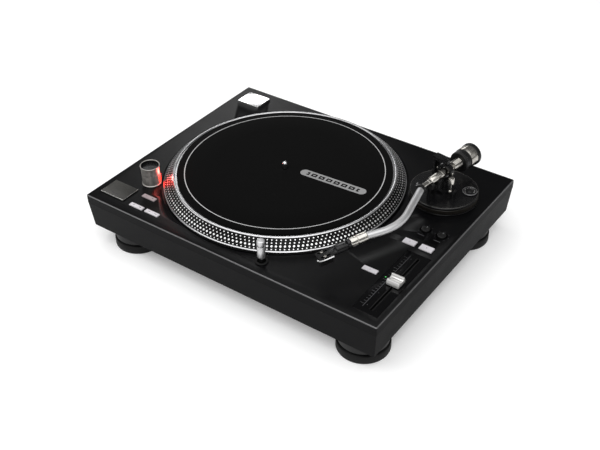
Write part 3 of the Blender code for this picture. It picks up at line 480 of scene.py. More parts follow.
def welded(node):
    """A copy of a CAD solid with its triangles welded and its flat faces whole again."""
    shape = bmesh.new()
    shape.from_mesh(frame["nodes"][node].data)
    bmesh.ops.remove_doubles(shape, verts=shape.verts, dist=2e-6)
    flat = math.radians(1.0)
    bmesh.ops.dissolve_limit(shape, angle_limit=flat, verts=shape.verts, edges=shape.edges)
    for face in shape.faces:
        face.material_index = 0
    return shape


def refined(node, finishes, soften):
    """Puts a welded copy with softened edges in the place of a CAD solid."""
    return stand_in(node, node + "_finished", welded(node), finishes, soften)


def middle(node):
    low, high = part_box(node)
    return (low + high) / 2


def ink_strokes(name, strokes, material, body, lift=0.04):
    """Flat printed strokes: (centre, length, width, turn in degrees), in millimetres."""
    whole = bmesh.new()
    for (x, y, z), length, width, angle in strokes:
        turn = Matrix.Rotation(math.radians(angle), 4, "Z")
        stretch = Matrix.Diagonal((length * MM / 2, width * MM / 2, 1, 1))
        place = Matrix.Translation(Vector((x, y, z + lift)) * MM) @ turn @ stretch
        bmesh.ops.create_grid(whole, x_segments=1, y_segments=1, size=1.0, matrix=place)
    return piece(name, whole, material, body)


def ink_figures(name, figures, material, body, size=2.2, lift=0.04):
    """Printed figures: (text, (x, y, z), turn in degrees). Each is centred on its place."""
    whole = []
    for text, (x, y, z), angle in figures:
        letters = bpy.data.curves.new("figures", "FONT")
        letters.body = text
        letters.size = size * MM
        letters.align_x = "CENTER"
        letters.align_y = "CENTER"
        letters.resolution_u = 3
        holder = bpy.data.objects.new("figures", letters)
        mesh = bpy.data.meshes.new_from_object(holder)
        bpy.data.objects.remove(holder)
        shape = bmesh.new()
        shape.from_mesh(mesh)
        bpy.data.meshes.remove(mesh)
        turn = Matrix.Rotation(math.radians(angle), 4, "Z")
        whole.append(moved(shape, Matrix.Translation(Vector((x, y, z + lift)) * MM) @ turn))
    return piece(name, joined(*whole), material, body)


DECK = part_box("top_plate")[1].z / MM
print("deck top is", round(DECK, 2), "mm above the floor")

# %% [markdown]
# ## The deck and its walls
#
# The deck is one casting, painted, over a moulded plinth whose walls lean in. Nothing is added to
# their shape: a small radius on their edges catches the light and makes them look solid. Paint
# runs thin on the deck's top edge, so it shines a little more there; the lighter colour given to
# that edge is a painted highlight.

# %% Deck, plinth and base
deck_shape = welded("top_plate")
deck_shape.normal_update()
# The top edge's bevel gets the edge finish, whose lighter colour is a painted highlight.
paint(deck_shape, 1, lambda at, way: at.z > DECK - 1.5 and 0.2 < way.z < 0.98)
paint(deck_shape, 2, lambda at, way: way.z < 0.2)
stand_in("top_plate", "top_plate_finished", deck_shape, [deck_paint, deck_edge_highlight_paint, plinth_paint])
refined("plinth", plinth_paint, 0.25)
refined("base_plate", rubber, 0.2)
refined("fader_panel", gloss_black, 0.2)

# %% [markdown]
# The feet are two rubber cups with a spring between them. The groove is where they slide into
# each other. Each is turned round its stud, so it is made round its own middle.

# %% Feet
for node in [n for n in body_of_node if n.startswith("foot_")]:
    low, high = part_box(node)
    place = Matrix.Translation((middle(node).x, middle(node).y, low.z))
    outer = (high.x - low.x) / 2 / MM
    top = high.z / MM
    outline = [
        (0, 0), (outer - 2.2, 0), (outer - 0.6, 0.5), (outer, 1.8), (outer, 10.6), (outer - 0.4, 11.8),
        (outer - 1.6, 12.5), (outer - 4, 12.5), (outer - 4, 14.5), (outer - 2.2, 14.5), (outer - 1.8, 15.0),
        (outer - 1.8, top - 6.0), (outer - 2.4, top - 4.4), (outer - 3.6, top - 3.8), (4, top - 3.8),
        (4, top), (0, top),
    ]
    shape = paint(lathe(outline, 96), 1, lambda at, way: at.z > 14.6 and at.xy.length > 20)
    foot = stand_in(node, node + "_turned", moved(shape, place), [rubber, foot_rim])
    print(node, "faces:", len(foot.data.polygons))

# %% [markdown]
# ## The platter
#
# The platter is a heavy aluminium casting. Its sloping belt carries four rows of dots. Under the
# red strobe one row seems to stand still when the speed is right: each row suits another speed,
# so each has another number of dots. The dots are low round studs, all of one mesh, made by
# turning one stud round the spindle again and again.

# %% Platter
BELT_TOP = Vector((152.7, 14.6))
BELT_FOOT = Vector((164.5, 3.3))
platter_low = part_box("platter")[0].z / MM - DECK
deck_at_spindle = Matrix.Translation((spindle.x, spindle.y, DECK * MM))
outline = [
    (158.5, platter_low), (165.0, platter_low), (165.0, 0.9), (165.7, 1.1), (166.0, 1.5), (166.0, 2.5),
    (165.7, 2.9), (165.0, 3.2), (164.5, 3.35), (153.2, 14.2), (152.9, 14.9), (152.3, 15.5), (151.6, 15.8),
    (150.6, 15.8), (150.0, 15.6), (149.5, 15.0), (149.4, 14.2), (3.9, 14.2), (3.9, 9.0), (147.5, 9.0),
]
shape = lathe(outline, 256, hollow=True)
paint(shape, 1, lambda at, way: 153 < at.xy.length < 164.4 and at.z > 3.4)
stand_in(
    "platter", "platter_casting", moved(shape, deck_at_spindle),
    [turned_aluminium, belt_paint], sharp=25
)
slope = BELT_FOOT - BELT_TOP
outward = Vector((-slope.y, slope.x)).normalized()
DOT_ROWS = ((0.15, 168, 0.95), (0.385, 174, 1.0), (0.635, 180, 1.5), (0.875, 186, 0.95))
dots = bmesh.new()
for share, count, radius in DOT_ROWS:
    foot = BELT_TOP + slope * share + outward * 0.03
    lean = math.atan2(outward.x, outward.y)
    place = Matrix.Translation((foot.x * MM, 0, foot.y * MM)) @ Matrix.Rotation(lean, 4, "Y")
    stud = bmesh.ops.create_cone(
        dots, cap_ends=True, segments=12, radius1=radius * MM, radius2=radius * 0.86 * MM,
        depth=0.16 * MM, matrix=place,
    )["verts"]
    stud_edges = {edge for vert in stud for edge in vert.link_edges}
    stud_faces = {face for vert in stud for face in vert.link_faces}
    parts = list(stud) + list(stud_edges | stud_faces)
    bmesh.ops.spin(
        dots, geom=parts, cent=(0, 0, 0), axis=(0, 0, 1), angle=math.tau * (count - 1) / count,
        steps=count - 1, use_duplicate=True,
    )
piece("strobe_dots", moved(dots, deck_at_spindle), dot_metal, "platter")
print("dots:", sum(count for _, count, _ in DOT_ROWS))

# %% [markdown]
# The spindle is ground steel with a rounded tip, and the magnet under the platter is a plain ring.
# Neither shows much, but both are seen when the platter is lifted off.

# %% Spindle and motor
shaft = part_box("spindle")
outline = [
    (0, -38), (3.6, -38), (3.6, 6.4), (12, 6.4), (12, 8.7), (3.6, 8.7), (3.6, 23.4), (3.4, 24.8), (2.7, 26.2),
    (1.5, 27.0), (0, 27.2),
]
stand_in("spindle", "spindle_ground", moved(lathe(outline, 64), deck_at_spindle), polished_steel)
refined("rotor_magnet", ferrite, 0.3)
refined("motor_stator", copper, 0.2)
refined("bearing_housing", brass, 0.2)
print("spindle top:", round(shaft[1].z / MM - DECK, 1), "mm above the deck")

# %% [markdown]
# ## The slipmat
#
# The mat is pressed felt: short fibres in every direction, matt, with a soft fuzz at the edge. A
# pale ring is printed near its rim and a grey badge with plain dark blocks across its middle. The
# ink is part of the felt's own finish, so the fibres show through it. Where ink is wanted, a
# comparison of each point's place with the print's outline gives one, and elsewhere nought.

# %% Slipmat
BADGE_X, BADGE_Y = 41.2 * MM, 14.2 * MM
BADGE_TURN = math.radians(-3.6)
BADGE_HALF_LENGTH, BADGE_HALF_WIDTH = 43 * MM, 6.8 * MM
BLOCK_STEP, BLOCK_HALF_HEIGHT = 11.5 * MM, 3.4 * MM
RING_RADIUS, RING_HALF_WIDTH = 136.4 * MM, 0.55 * MM


def felt_with_print():
    """Black felt. Its print is placed by distance from the spindle and by a turned square grid."""
    material = bpy.data.materials.new("printed_felt")
    material.use_nodes = True
    tree = material.node_tree
    shader = tree.nodes["Principled BSDF"]
    place = add_node(tree, "ShaderNodeTexCoord").outputs["Object"]
    fibres = add_node(
        tree,
        "ShaderNodeTexNoise",
        {"Vector": place, "Scale": 1 / (0.7 * MM), "Detail": 6.0, "Distortion": 1.5},
    ).outputs["Fac"]
    clumps = add_node(
        tree, "ShaderNodeTexNoise", {"Vector": place, "Scale": 1 / (6 * MM), "Detail": 3.0}
    ).outputs["Fac"]
    wavering = maths(tree, "MULTIPLY", maths(tree, "SUBTRACT", fibres, 0.5), 0.0006)
    away = maths(tree, "ADD", radius_about(tree, place, hub), wavering)
    ring = maths(tree, "COMPARE", away, RING_RADIUS, RING_HALF_WIDTH)
    turned = add_node(
        tree,
        "ShaderNodeVectorRotate",
        {"Vector": place, "Center": (BADGE_X, BADGE_Y, 0.0), "Angle": BADGE_TURN},
        rotation_type="Z_AXIS",
    ).outputs[0]
    parts = add_node(tree, "ShaderNodeSeparateXYZ", {0: turned}).outputs
    from_middle = maths(tree, "SUBTRACT", parts[0], BADGE_X)
    aside = maths(tree, "SUBTRACT", parts[1], BADGE_Y)
    beyond = maths(tree, "SUBTRACT", maths(tree, "ABSOLUTE", from_middle), BADGE_HALF_LENGTH)
    past_end = maths(tree, "MAXIMUM", beyond, 0.0)
    squares = [maths(tree, "MULTIPLY", part, part) for part in (past_end, aside)]
    reach = maths(tree, "ADD", maths(tree, "SQRT", maths(tree, "ADD", *squares)), wavering)
    label = maths(tree, "LESS_THAN", reach, BADGE_HALF_WIDTH)
    step = maths(tree, "FRACT", maths(tree, "DIVIDE", from_middle, BLOCK_STEP))
    block = maths(tree, "COMPARE", step, 0.5, 0.36)
    block = maths(tree, "MULTIPLY", block, maths(tree, "COMPARE", aside, 0.0, BLOCK_HALF_HEIGHT))
    block = maths(tree, "MULTIPLY", block, maths(tree, "COMPARE", from_middle, 0.0, 40 * MM))
    hole = maths(tree, "COMPARE", step, 0.5, 0.16)
    hole = maths(tree, "MULTIPLY", hole, maths(tree, "COMPARE", aside, 0.0, 1.1 * MM))
    hole = maths(tree, "MULTIPLY", hole, block)
    label = maths(tree, "SUBTRACT", label, maths(tree, "SUBTRACT", block, hole))
    cloth = add_node(tree, "ShaderNodeValToRGB", {"Fac": fibres})
    cloth.color_ramp.elements[0].position = 0.3
    cloth.color_ramp.elements[0].color = linear("#020202")
    cloth.color_ramp.elements[1].position = 0.75
    cloth.color_ramp.elements[1].color = linear("#090909")
    ringed = add_node(
        tree, "ShaderNodeMix", {0: ring, 6: cloth.outputs["Color"], 7: linear("#b9b9b9")}, data_type="RGBA"
    ).outputs[2]
    printed = add_node(
        tree, "ShaderNodeMix", {0: maths(tree, "MULTIPLY", label, 0.8), 6: ringed, 7: linear("#9a9a9a")},
        data_type="RGBA",
    ).outputs[2]
    height = maths(tree, "ADD", fibres, clumps)
    relief = add_node(tree, "ShaderNodeBump", {"Height": height, "Strength": 0.7, "Distance": 0.12 * MM})
    tree.links.new(printed, shader.inputs["Base Color"])
    tree.links.new(relief.outputs["Normal"], shader.inputs["Normal"])
    shader.inputs["Roughness"].default_value = 0.95
    shader.inputs["Specular IOR Level"].default_value = 0.06
    shader.inputs["Sheen Weight"].default_value = 0.02
    shader.inputs["Sheen Roughness"].default_value = 0.5
    return material


mat_low, mat_high = (corner.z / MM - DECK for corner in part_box("slipmat"))
mat_radius = (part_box("slipmat")[1].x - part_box("slipmat")[0].x) / 2 / MM
outline = [(4.1, mat_low), (mat_radius - 0.4, mat_low), (mat_radius, mat_low + 0.5)]
outline += [(mat_radius, mat_high - 0.6), (mat_radius - 0.2, mat_high - 0.2), (mat_radius - 0.6, mat_high)]
outline += [(100, mat_high), (50, mat_high), (4.6, mat_high), (4.1, mat_high - 0.4)]
mat = stand_in(
    "slipmat", "felt_slipmat", moved(lathe(outline, 192, hollow=True), deck_at_spindle),
    felt_with_print()
)
print("mat:", round(2 * mat_radius), "mm across,", round(mat_high - mat_low, 1), "mm thick")

# %% [markdown]
# ## Buttons, keys and knobs
#
# The start button is a slab of brushed aluminium with a polished edge. The keys are small caps of
# translucent plastic with a few dark marks. Every mark is flat ink, a few hundredths of a
# millimetre above the surface, in generic strokes and numbers.

# %% Start buttons and keys
rim_metal = finish("cut_button_edge", "#e2e2de", "#fbfbf8", 0.15, metallic=1.0, grain=0.5, relief=0.002)
mirror_metal = finish("mirror_button", "#e9e9ea", "#fbfbfb", 0.16, metallic=1.0, grain=0.8, relief=0.003)


def button_piece(node, face_finish, edge_finish):
    """A cap whose top is cut in from its edge: a bright bevel round a flat face."""
    low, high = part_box(node)
    top = high.z / MM
    shape = welded(node)
    shape.normal_update()
    upper = [f for f in shape.faces if f.normal.z > 0.9 and f.calc_center_median().z / MM > top - 0.1]
    rim = bmesh.ops.inset_region(shape, faces=upper, thickness=0.35 * MM, depth=0.0)["faces"]
    for face in rim:
        face.material_index = 1
    paint(shape, 1, lambda at, way: at.z > top - 2.5 and 0.3 < way.z < 0.9)
    return stand_in(node, node + "_cap", shape, [face_finish, edge_finish], 0.1)


# The front start cap's dark grey colour is painted shade; the rear cap is bright mirror metal.
key_looks = {
    "start_stop_button": (shaded_brushed_metal, rim_metal),
    "start_stop_button_rear": (mirror_metal, rim_metal),
    "speed_78_button": (key_grey, key_grey),
}
for node in [n for n in body_of_node if n.endswith("_button") or n.endswith("_button_rear")]:
    button_piece(node, *key_looks.get(node, (key_white, key_white)))


# %% Marks on the keys
def key_top(node):
    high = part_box(node)[1].z / MM
    return middle(node).x / MM, middle(node).y / MM, high


for node, text in (("speed_33_button", "33"), ("speed_45_button", "45"), ("speed_78_button", "78")):
    x, y, z = key_top(node)
    ink_figures(node + "_figure", [(text, (x - 5, y, z), 0)], dark_ink, node, 2.8)
    ink_strokes(node + "_lamp_mark", [((x + 6, y, z), 3.2, 0.8, 0)], dark_ink, node)
for node, text in (("reset_button", "0"), ("pitch_range_button", "±"), ("reverse_button", "R")):
    x, y, z = key_top(node)
    ink_figures(node + "_figure", [(text, (x, y, z), 0)], dark_ink, node, 3.0)
x, y, z = key_top("start_stop_button")
ink_strokes("start_marks", [((x - 3, y - 9, z), 4.5, 0.9, 0), ((x + 4, y - 9, z), 4.5, 0.9, 0)],
            dark_ink, "start_stop_button")
print("key marks are ink, 0.04 mm above the caps")

# %% [markdown]
# The two small knobs set how fast the platter starts and stops. Each has a fluted edge for the
# fingertip and a white line that points at its scale. The pitch fader has a long slot with a
# printed scale beside it, a small green lamp at its middle, and a waisted silver cap.

# %% Knobs
for node in ("start_time_knob", "brake_time_knob"):
    low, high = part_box(node)
    radius, top = (high.x - low.x) / 2 / MM, high.z / MM
    place = Matrix.Translation((middle(node).x, middle(node).y, 0))
    foot = low.z / MM
    outline = [
        (0, foot), (2.8, foot), (2.8, DECK - 3.6), (radius - 0.3, DECK - 3.6), (radius, DECK - 3.2),
        (radius, top - 1.2), (radius - 0.4, top - 0.3), (radius - 1.1, top), (2.0, top - 0.3), (0, top - 0.4),
    ]
    shape = ribbed(lathe(outline, 72), 36, 0.22, radius - 0.5, DECK - 3.4, top - 0.8)
    stand_in(node, node + "_turned", moved(shape, place), black_plastic)
    x, y = middle(node).x / MM, middle(node).y / MM
    ink_strokes(node + "_pointer", [((x, y + radius - 2.1, top - 0.06), 0.7, 2.6, 0)], pointer_ink, node)
    ticks = []
    for degrees in range(-135, 136, 45):
        outwards = Vector((math.sin(math.radians(degrees)), math.cos(math.radians(degrees))))
        tick = Vector((x, y)) + 9.4 * outwards
        ticks.append(((tick.x, tick.y, DECK), 0.4, 1.2, -degrees))
    ticks.append(((x, y - 12.6, DECK), 9.0, 0.8, 0))
    ink_strokes(node + "_scale", ticks, grey_ink, "chassis")
print("knob radius:", radius, "mm")

# %% Pitch fader
fader = middle("pitch_fader")
cap_x, cap_y = fader.x / MM, fader.y / MM
refined("pitch_fader", silver_cap, 0.35)
cap_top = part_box("pitch_fader")[1].z / MM
ink_strokes("fader_cap_line", [((cap_x, cap_y + 1.2, cap_top - 3.0), 15.4, 0.7, 0)], dark_ink,
            "pitch_fader", lift=0.05)
refined("fader_rail", black_plastic, 0.2)
panel_low, panel_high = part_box("fader_panel")
line_x = panel_low.x / MM + 9.5
panel_top = panel_high.z / MM
strokes = [((line_x, cap_y, panel_top), 0.5, 110.4, 0)]
for i in range(21):
    y = cap_y - 50 + 5 * i
    length = 5.4 if i % 5 == 0 else 3.4
    strokes.append(((line_x - 0.6 - length / 2, y, panel_top), length, 0.45, 0))
ink_strokes("pitch_scale", strokes, grey_ink, "chassis")
figures = []
for i, text in enumerate(("-8", "-4", "0", "4", "8")):
    figures.append((text, (line_x + 3.4, cap_y + 50 - 25 * i, panel_top), 0))
ink_figures("pitch_figures", figures, grey_ink, "chassis", 2.3)
lip_places = ((cap_x - 2.8, cap_x - 1.35), (cap_x + 1.35, cap_x + 2.8))
lips = joined(*[
    rounded_block((x0, cap_y - 55.2, panel_top - 1.1), (x1, cap_y + 55.2, panel_top - 0.15), 0.15, 1)
    for x0, x1 in lip_places
])
piece("fader_slot_lips", lips, rubber, "chassis")
lamp = lathe([(0, -0.3), (0.7, -0.3), (0.7, 0.1), (0.45, 0.35), (0, 0.4)], 20)
lamp_at = Vector((panel_low.x + 4.8 * MM, fader.y + 4.3 * MM, panel_high.z))
piece("pitch_lock_lamp", moved(lamp, Matrix.Translation(lamp_at)), green_lens, "chassis")
print("scale from", -8, "to", 8)

# %% [markdown]
# ## The strobe tower and the stylus lamp
#
# The tower is turned aluminium. A window near its foot lets the red strobe shine along the dots,
# and the hollow dial on top is the mains switch. The stylus lamp is a blasted tube that pops up
# out of the deck, with a small lens that shines sideways onto the record.

# %% Strobe tower
tower = middle("strobe_housing")
tower_place = Matrix.Translation((tower.x, tower.y, DECK * MM))
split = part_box("strobe_housing")[1].z / MM - DECK
tower_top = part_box("power_knob")[1].z / MM - DECK
facing_platter = math.degrees(math.atan2(spindle.y - tower.y, spindle.x - tower.x))
refined("strobe_housing", machined, 0.25)
refined("strobe_window", red_lens, 0.3)
outline = [
    (0, split + 0.3), (12.2, split + 0.3), (12.4, split + 0.5), (12.5, tower_top - 7.0),
    (12.8, tower_top - 4.0), (13.3, tower_top - 1.2), (13.5, tower_top - 0.4), (13.2, tower_top),
    (12.5, tower_top), (12.2, tower_top - 0.4), (11.6, tower_top - 1.6), (11.3, tower_top - 4.2),
    (0, tower_top - 4.5),
]
shape = lathe(outline, 120)
paint(shape, 1, lambda at, way: at.z > tower_top - 5 and at.xy.length < 12.1)
stand_in("power_knob", "power_dial", moved(shape, tower_place), [machined, black_anodised])
mark_at = (tower.x / MM + 4, tower.y / MM - 5, DECK + tower_top - 4.5)
ink_strokes("power_dial_mark", [(mark_at, 4.0, 0.7, -51)], white_ink, "power_knob", lift=0.08)
print("tower:", round(tower_top, 1), "mm high, window faces", round(facing_platter), "degrees")

# %% Stylus lamp
lamp = middle("target_lamp")
lamp_place = Matrix.Translation((lamp.x, lamp.y, DECK * MM))
lamp_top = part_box("target_lamp")[1].z / MM - DECK
outline = [
    (0, -12), (3.5, -12), (3.5, 6.0), (4.5, 7.2), (5.0, 8.0), (5.2, 9.0), (5.2, 24.0),
    (5.0, 24.3), (5.0, 24.7), (5.2, 25.0), (5.2, lamp_top - 1.2), (4.9, lamp_top - 0.4),
    (4.2, lamp_top), (0, lamp_top),
]
shape = paint(lathe(outline, 64), 1, lambda at, way: at.z < 6.5)
stand_in("target_lamp", "stylus_lamp_tube", moved(shape, lamp_place), [satin_tube, black_plastic])
lens = lathe([(0, -0.4), (1.6, -0.4), (1.6, 0.1), (1.1, 0.45), (0, 0.6)], 24)
moved(lens, Matrix.Rotation(math.radians(90), 4, "Y"))
moved(lens, Matrix.Translation((5.0 * MM, 0, 28.5 * MM)))
moved(lens, Matrix.Rotation(math.radians(120), 4, "Z"))
warm_lens = finish("frosted_lamp_lens", "#d8d2c4", "#efe9da", 0.25, grain=0.4, relief=0.01, coat=0.4)
piece("stylus_lamp_lens", moved(lens, lamp_place), warm_lens, "target_lamp")
refined("lamp_collar", rubber, 0.2)
print("lamp stands", round(lamp_top, 1), "mm above the deck")

# %% [markdown]
# ## The tonearm's base
#
# Everything that belongs to the arm is placed from its two bearings: the record says where the
# upright one is and which way the cross axle points. From there the pieces are laid out in the
# arm's own directions, with Y straight back along it. The height ring has fine ribs cut round
# it, which is far easier to see than to feel: two hundred of them make one band of sparkle.

# %% Arm directions
cross = joints["arm_tilt"]
pivot = Vector(cross["pos_m"])
arm_x = -Vector(cross["axis"]).normalized()
arm_z = Vector((0, 0, 1))
arm_y = arm_z.cross(arm_x)
arm = Matrix.Translation(pivot) @ Matrix((arm_x, arm_y, arm_z)).transposed().to_4x4()
PIVOT_HIGH = pivot.z / MM - DECK
along_arm = arm @ Matrix.Rotation(math.radians(-90), 4, "X")
print("arm points", round(math.degrees(math.atan2(arm_y.x, arm_y.y)), 1), "degrees off straight")

# %% Flange, height ring and base plate
column = Matrix.Translation((pivot.x, pivot.y, DECK * MM))
outline = [(27.5, 0.3), (46.4, 0.3), (46.5, 0.6), (46.5, 1.7), (46.2, 2.2), (45.6, 2.3), (27.5, 2.3)]
stand_in(
    "arm_flange", "arm_flange_turned", moved(lathe(outline, 128, hollow=True), column), black_anodised
)
ring_low, ring_high = (corner.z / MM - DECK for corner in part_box("height_ring"))
outline = [
    (27.5, ring_low), (45.4, ring_low), (45.9, ring_low + 0.4), (45.9, ring_high - 0.5),
    (45.4, ring_high), (27.5, ring_high),
]
shape = ribbed(lathe(outline, 400, hollow=True), 200, 0.3, 45.6, ring_low + 0.2, ring_high - 0.2)
stand_in("height_ring", "height_ring_ribbed", moved(shape, column), rib_metal, sharp=20)
plate_top = ring_high + 0.3 + 3.4
refined("arm_base", black_anodised, 0.35)
# A thin pale ring round the edge of the plate's top is a painted highlight, the bright line that light lays along
# that edge.
groove = lathe([(44.7, plate_top + 0.02), (44.9, plate_top + 0.14), (45.1, plate_top + 0.02)], 160)
base_edge_highlight_finish = finish("base_edge_painted_highlight", "#3e3d3a", "#5d5b56", 0.3, metallic=0.7, grain=0.8, relief=0.004)
piece("arm_base_edge_highlight", moved(groove, column), base_edge_highlight_finish, "arm_base")
marks = []
for i in range(13):
    angle = math.radians(-80 + 8 * i)
    x, y = pivot.x / MM + 42.6 * math.cos(angle), pivot.y / MM + 42.6 * math.sin(angle)
    marks.append(((x, y, DECK + plate_top), 2.0 if i % 3 == 0 else 1.2, 0.25, math.degrees(angle)))
ink_strokes("height_marks", marks, grey_ink, "arm_base")
refined("height_lock", black_plastic, 0.3)
print("ring:", round(ring_high - ring_low, 1), "mm high, 200 ribs")

# %% Anti-skate dial, cue lever and lift
dial = middle("antiskate_dial")
dial_place = Matrix.Translation((dial.x, dial.y, 0))
dial_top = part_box("antiskate_dial")[1].z / MM
dial_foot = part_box("antiskate_dial")[0].z / MM
outline = [
    (0, dial_foot), (2.1, dial_foot), (2.1, dial_foot + 3), (9.6, dial_foot + 3), (9.8, dial_foot + 3.3),
    (9.8, dial_foot + 4.6), (9.4, dial_foot + 5.0), (8.9, dial_foot + 4.9), (8.3, dial_foot + 4.6),
    (4.5, dial_foot + 4.6), (4.1, dial_top - 0.3), (3.7, dial_top), (0, dial_top),
]
shape = ribbed(lathe(outline, 120), 60, 0.18, 9.5, dial_foot + 3.1, dial_foot + 4.8)
paint(shape, 1, lambda at, way: at.z > dial_foot + 4.6 and 8.6 < at.xy.length < 9.7)
dial_rim = finish("pale_dial_rim", "#6f6f70", "#9b9b9c", 0.3, metallic=0.8, grain=0.5, relief=0.004)
stand_in(
    "antiskate_dial", "antiskate_dial_turned", moved(shape, dial_place), [black_anodised, dial_rim]
)
marks = []
for i in range(15):
    angle = math.radians(18 * i)
    x, y = dial.x / MM + 6.6 * math.cos(angle), dial.y / MM + 6.6 * math.sin(angle)
    marks.append(((x, y, dial_foot + 4.6), 1.6 if i % 5 == 0 else 0.9, 0.22, math.degrees(angle)))
ink_strokes("antiskate_marks", marks, white_ink, "antiskate_dial")
lever = Vector(joints["cue_lever_turn"]["pos_m"])
stick = lathe([(0, 0), (1.3, 0), (1.3, 13.5), (0, 13.5)], 24)
grip = lathe(
    [(0, 13.3), (3.2, 13.3), (3.75, 13.9), (3.75, 21.5), (3.4, 22.0), (2.8, 22.2), (0, 22.2)], 64
)
ribbed(grip, 32, 0.16, 3.5, 14.2, 21.0)
eye = moved(lathe([(0, -1.6), (2.5, -1.6), (2.8, -1.3), (2.8, 1.7), (2.5, 2.0), (0, 2.0)], 32),
            Matrix.Rotation(math.radians(90), 4, "Y"))
at_lever = Matrix.Translation(lever) @ arm.to_3x3().to_4x4()
stand_in("cue_lever", "cue_lever_turned", moved(joined(stick, grip, eye), at_lever), chrome)
refined("lift_platform", rubber, 0.3)
refined("arm_rest", black_plastic, 0.35)
refined("arm_rest_clip", polished_steel, 0.2)
print("dial top:", round(dial_top - DECK, 1), "mm above the deck")

# %% [markdown]
# ## The bearing and the arm
#
# The gimbal ring turns between two points in the fixed yoke, and the arm's cross axle turns in
# the ring. Small bright screws set the play of each pair of points. The arm itself is a blasted
# aluminium tube with a bright sleeve through the ring. The bend is made by rolling the tube, so
# it is drawn along a smooth line with many short steps.

# %% Gimbal
refined("gimbal_yoke", black_anodised, 0.4)
refined("gimbal_ring", black_anodised, 0.35)


def slotted_screw(radius, height):
    """A cheese-head screw with a straight slot, standing on its own underside."""
    outline = [(0, 0), (radius, 0), (radius, height - 0.3), (radius - 0.3, height), (0, height)]
    shape = lathe(outline, 32)
    slot = rounded_block((-radius - 1, -0.25, height - 0.5), (radius + 1, 0.25, height + 1), 0.05, 1)
    mesh = bpy.data.meshes.new("slot")
    slot.to_mesh(mesh)
    slot.free()
    blade = bpy.data.objects.new("slot", mesh)
    mesh = bpy.data.meshes.new("screw")
    shape.to_mesh(mesh)
    shape.free()
    head = bpy.data.objects.new("screw", mesh)
    for item in (blade, head):
        bpy.context.scene.collection.objects.link(item)
    cutting = head.modifiers.new("slot", "BOOLEAN")
    cutting.object = blade
    cutting.operation = "DIFFERENCE"
    bpy.context.view_layer.update()
    made = bpy.data.meshes.new_from_object(head.evaluated_get(bpy.context.evaluated_depsgraph_get()))
    for item in (blade, head):
        bpy.data.objects.remove(item)
    result = bmesh.new()
    result.from_mesh(made)
    bpy.data.meshes.remove(made)
    return result


def on_arm(x, y, z):
    return arm @ Matrix.Translation(Vector((x, y, z)) * MM)


yoke_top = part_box("gimbal_yoke")[1].z / MM - DECK - PIVOT_HIGH
piece("upper_bearing_screw", moved(slotted_screw(2.1, 0.9), on_arm(0, 0, yoke_top - 1.0)), chrome, "arm_base")
side = Matrix.Rotation(math.radians(-90), 4, "Y")
screws = [(side, -11.6), (Matrix.Rotation(math.radians(90), 4, "Y"), 11.6)]
for label, (way, x) in zip(("left", "right"), screws):
    head = moved(slotted_screw(2.6, 1.1), on_arm(x, 0, 0) @ way)
    piece(f"{label}_bearing_screw", head, chrome, "gimbal_ring")
print("gimbal screws: 3")

# %% Sleeve, tube and rings
outline = [
    (0, -51.2), (3.2, -51.2), (3.2, -37.6), (3.6, -37.2), (3.6, -36.4), (3.2, -36.0),
    (3.2, -33.2), (5.0, -31.6), (5.2, -31.2), (5.2, -12.4), (5.0, -12.2), (5.0, -11.6), (5.2, -11.4),
    (5.2, 12.0), (0, 12.0),
]
sleeve_shape = lathe(outline, 64)
axle = lathe([(0, -7.3), (1.5, -7.3), (1.5, 7.3), (0, 7.3)], 24)
moved(axle, Matrix.Rotation(math.radians(90), 4, "X"))
axle = moved(axle, Matrix.Rotation(math.radians(90), 4, "Z"))
stand_in("arm_sleeve", "arm_sleeve_turned", moved(joined(sleeve_shape, axle), along_arm), chrome)
refined("arm_joint_ring", black_plastic, 0.4)
collar = joints["collar_turn"]
tube_end = arm.inverted() @ Vector(collar["pos_m"]) / MM


TUBE_START = (3.2, -56.9)
TUBE_OUT, TUBE_IN = math.radians(21.0), math.radians(22.0)
TUBE_FIRST_RUN, TUBE_BEND, TUBE_LAST_RUN = 54.0, 70.0, 20.0


def tube_points():
    """The tube's centre line in the arm's own directions, in millimetres: out, round, and in."""
    first = Vector((*TUBE_START, 0))
    outwards = Vector((math.sin(TUBE_OUT), -math.cos(TUBE_OUT), 0))
    inwards = Vector((-math.sin(TUBE_IN), -math.cos(TUBE_IN), 0))
    points = [first + TUBE_FIRST_RUN * i / 8 * outwards for i in range(9)]
    start = points[-1].copy()
    for i in range(1, 41):
        slope = TUBE_OUT - (TUBE_OUT + TUBE_IN) * i / 40
        across = TUBE_BEND * (math.cos(slope) - math.cos(TUBE_OUT))
        down = TUBE_BEND * (math.sin(TUBE_OUT) - math.sin(slope))
        points.append(start + Vector((across, -down, 0)))
    last = points[-1].copy()
    return points + [last + TUBE_LAST_RUN * i / 4 * inwards for i in range(1, 5)]


line = tube_points()
print("tube ends", round((line[-1] - tube_end).length, 2), "mm from the collar's joint")
tube = bar([p * MM for p in line], 4.7 * MM, 32)
stand_in("arm_tube", "arm_tube_rolled", moved(tube, arm), satin_tube, sharp=50)

# %% [markdown]
# The collar at the end of the tube is screwed over the headshell's plug. The headshell is a thin
# plate with two slots for the cartridge's screws, four thin coloured wires, and a finger lift bent
# from round bar. It points a little inwards and downwards.

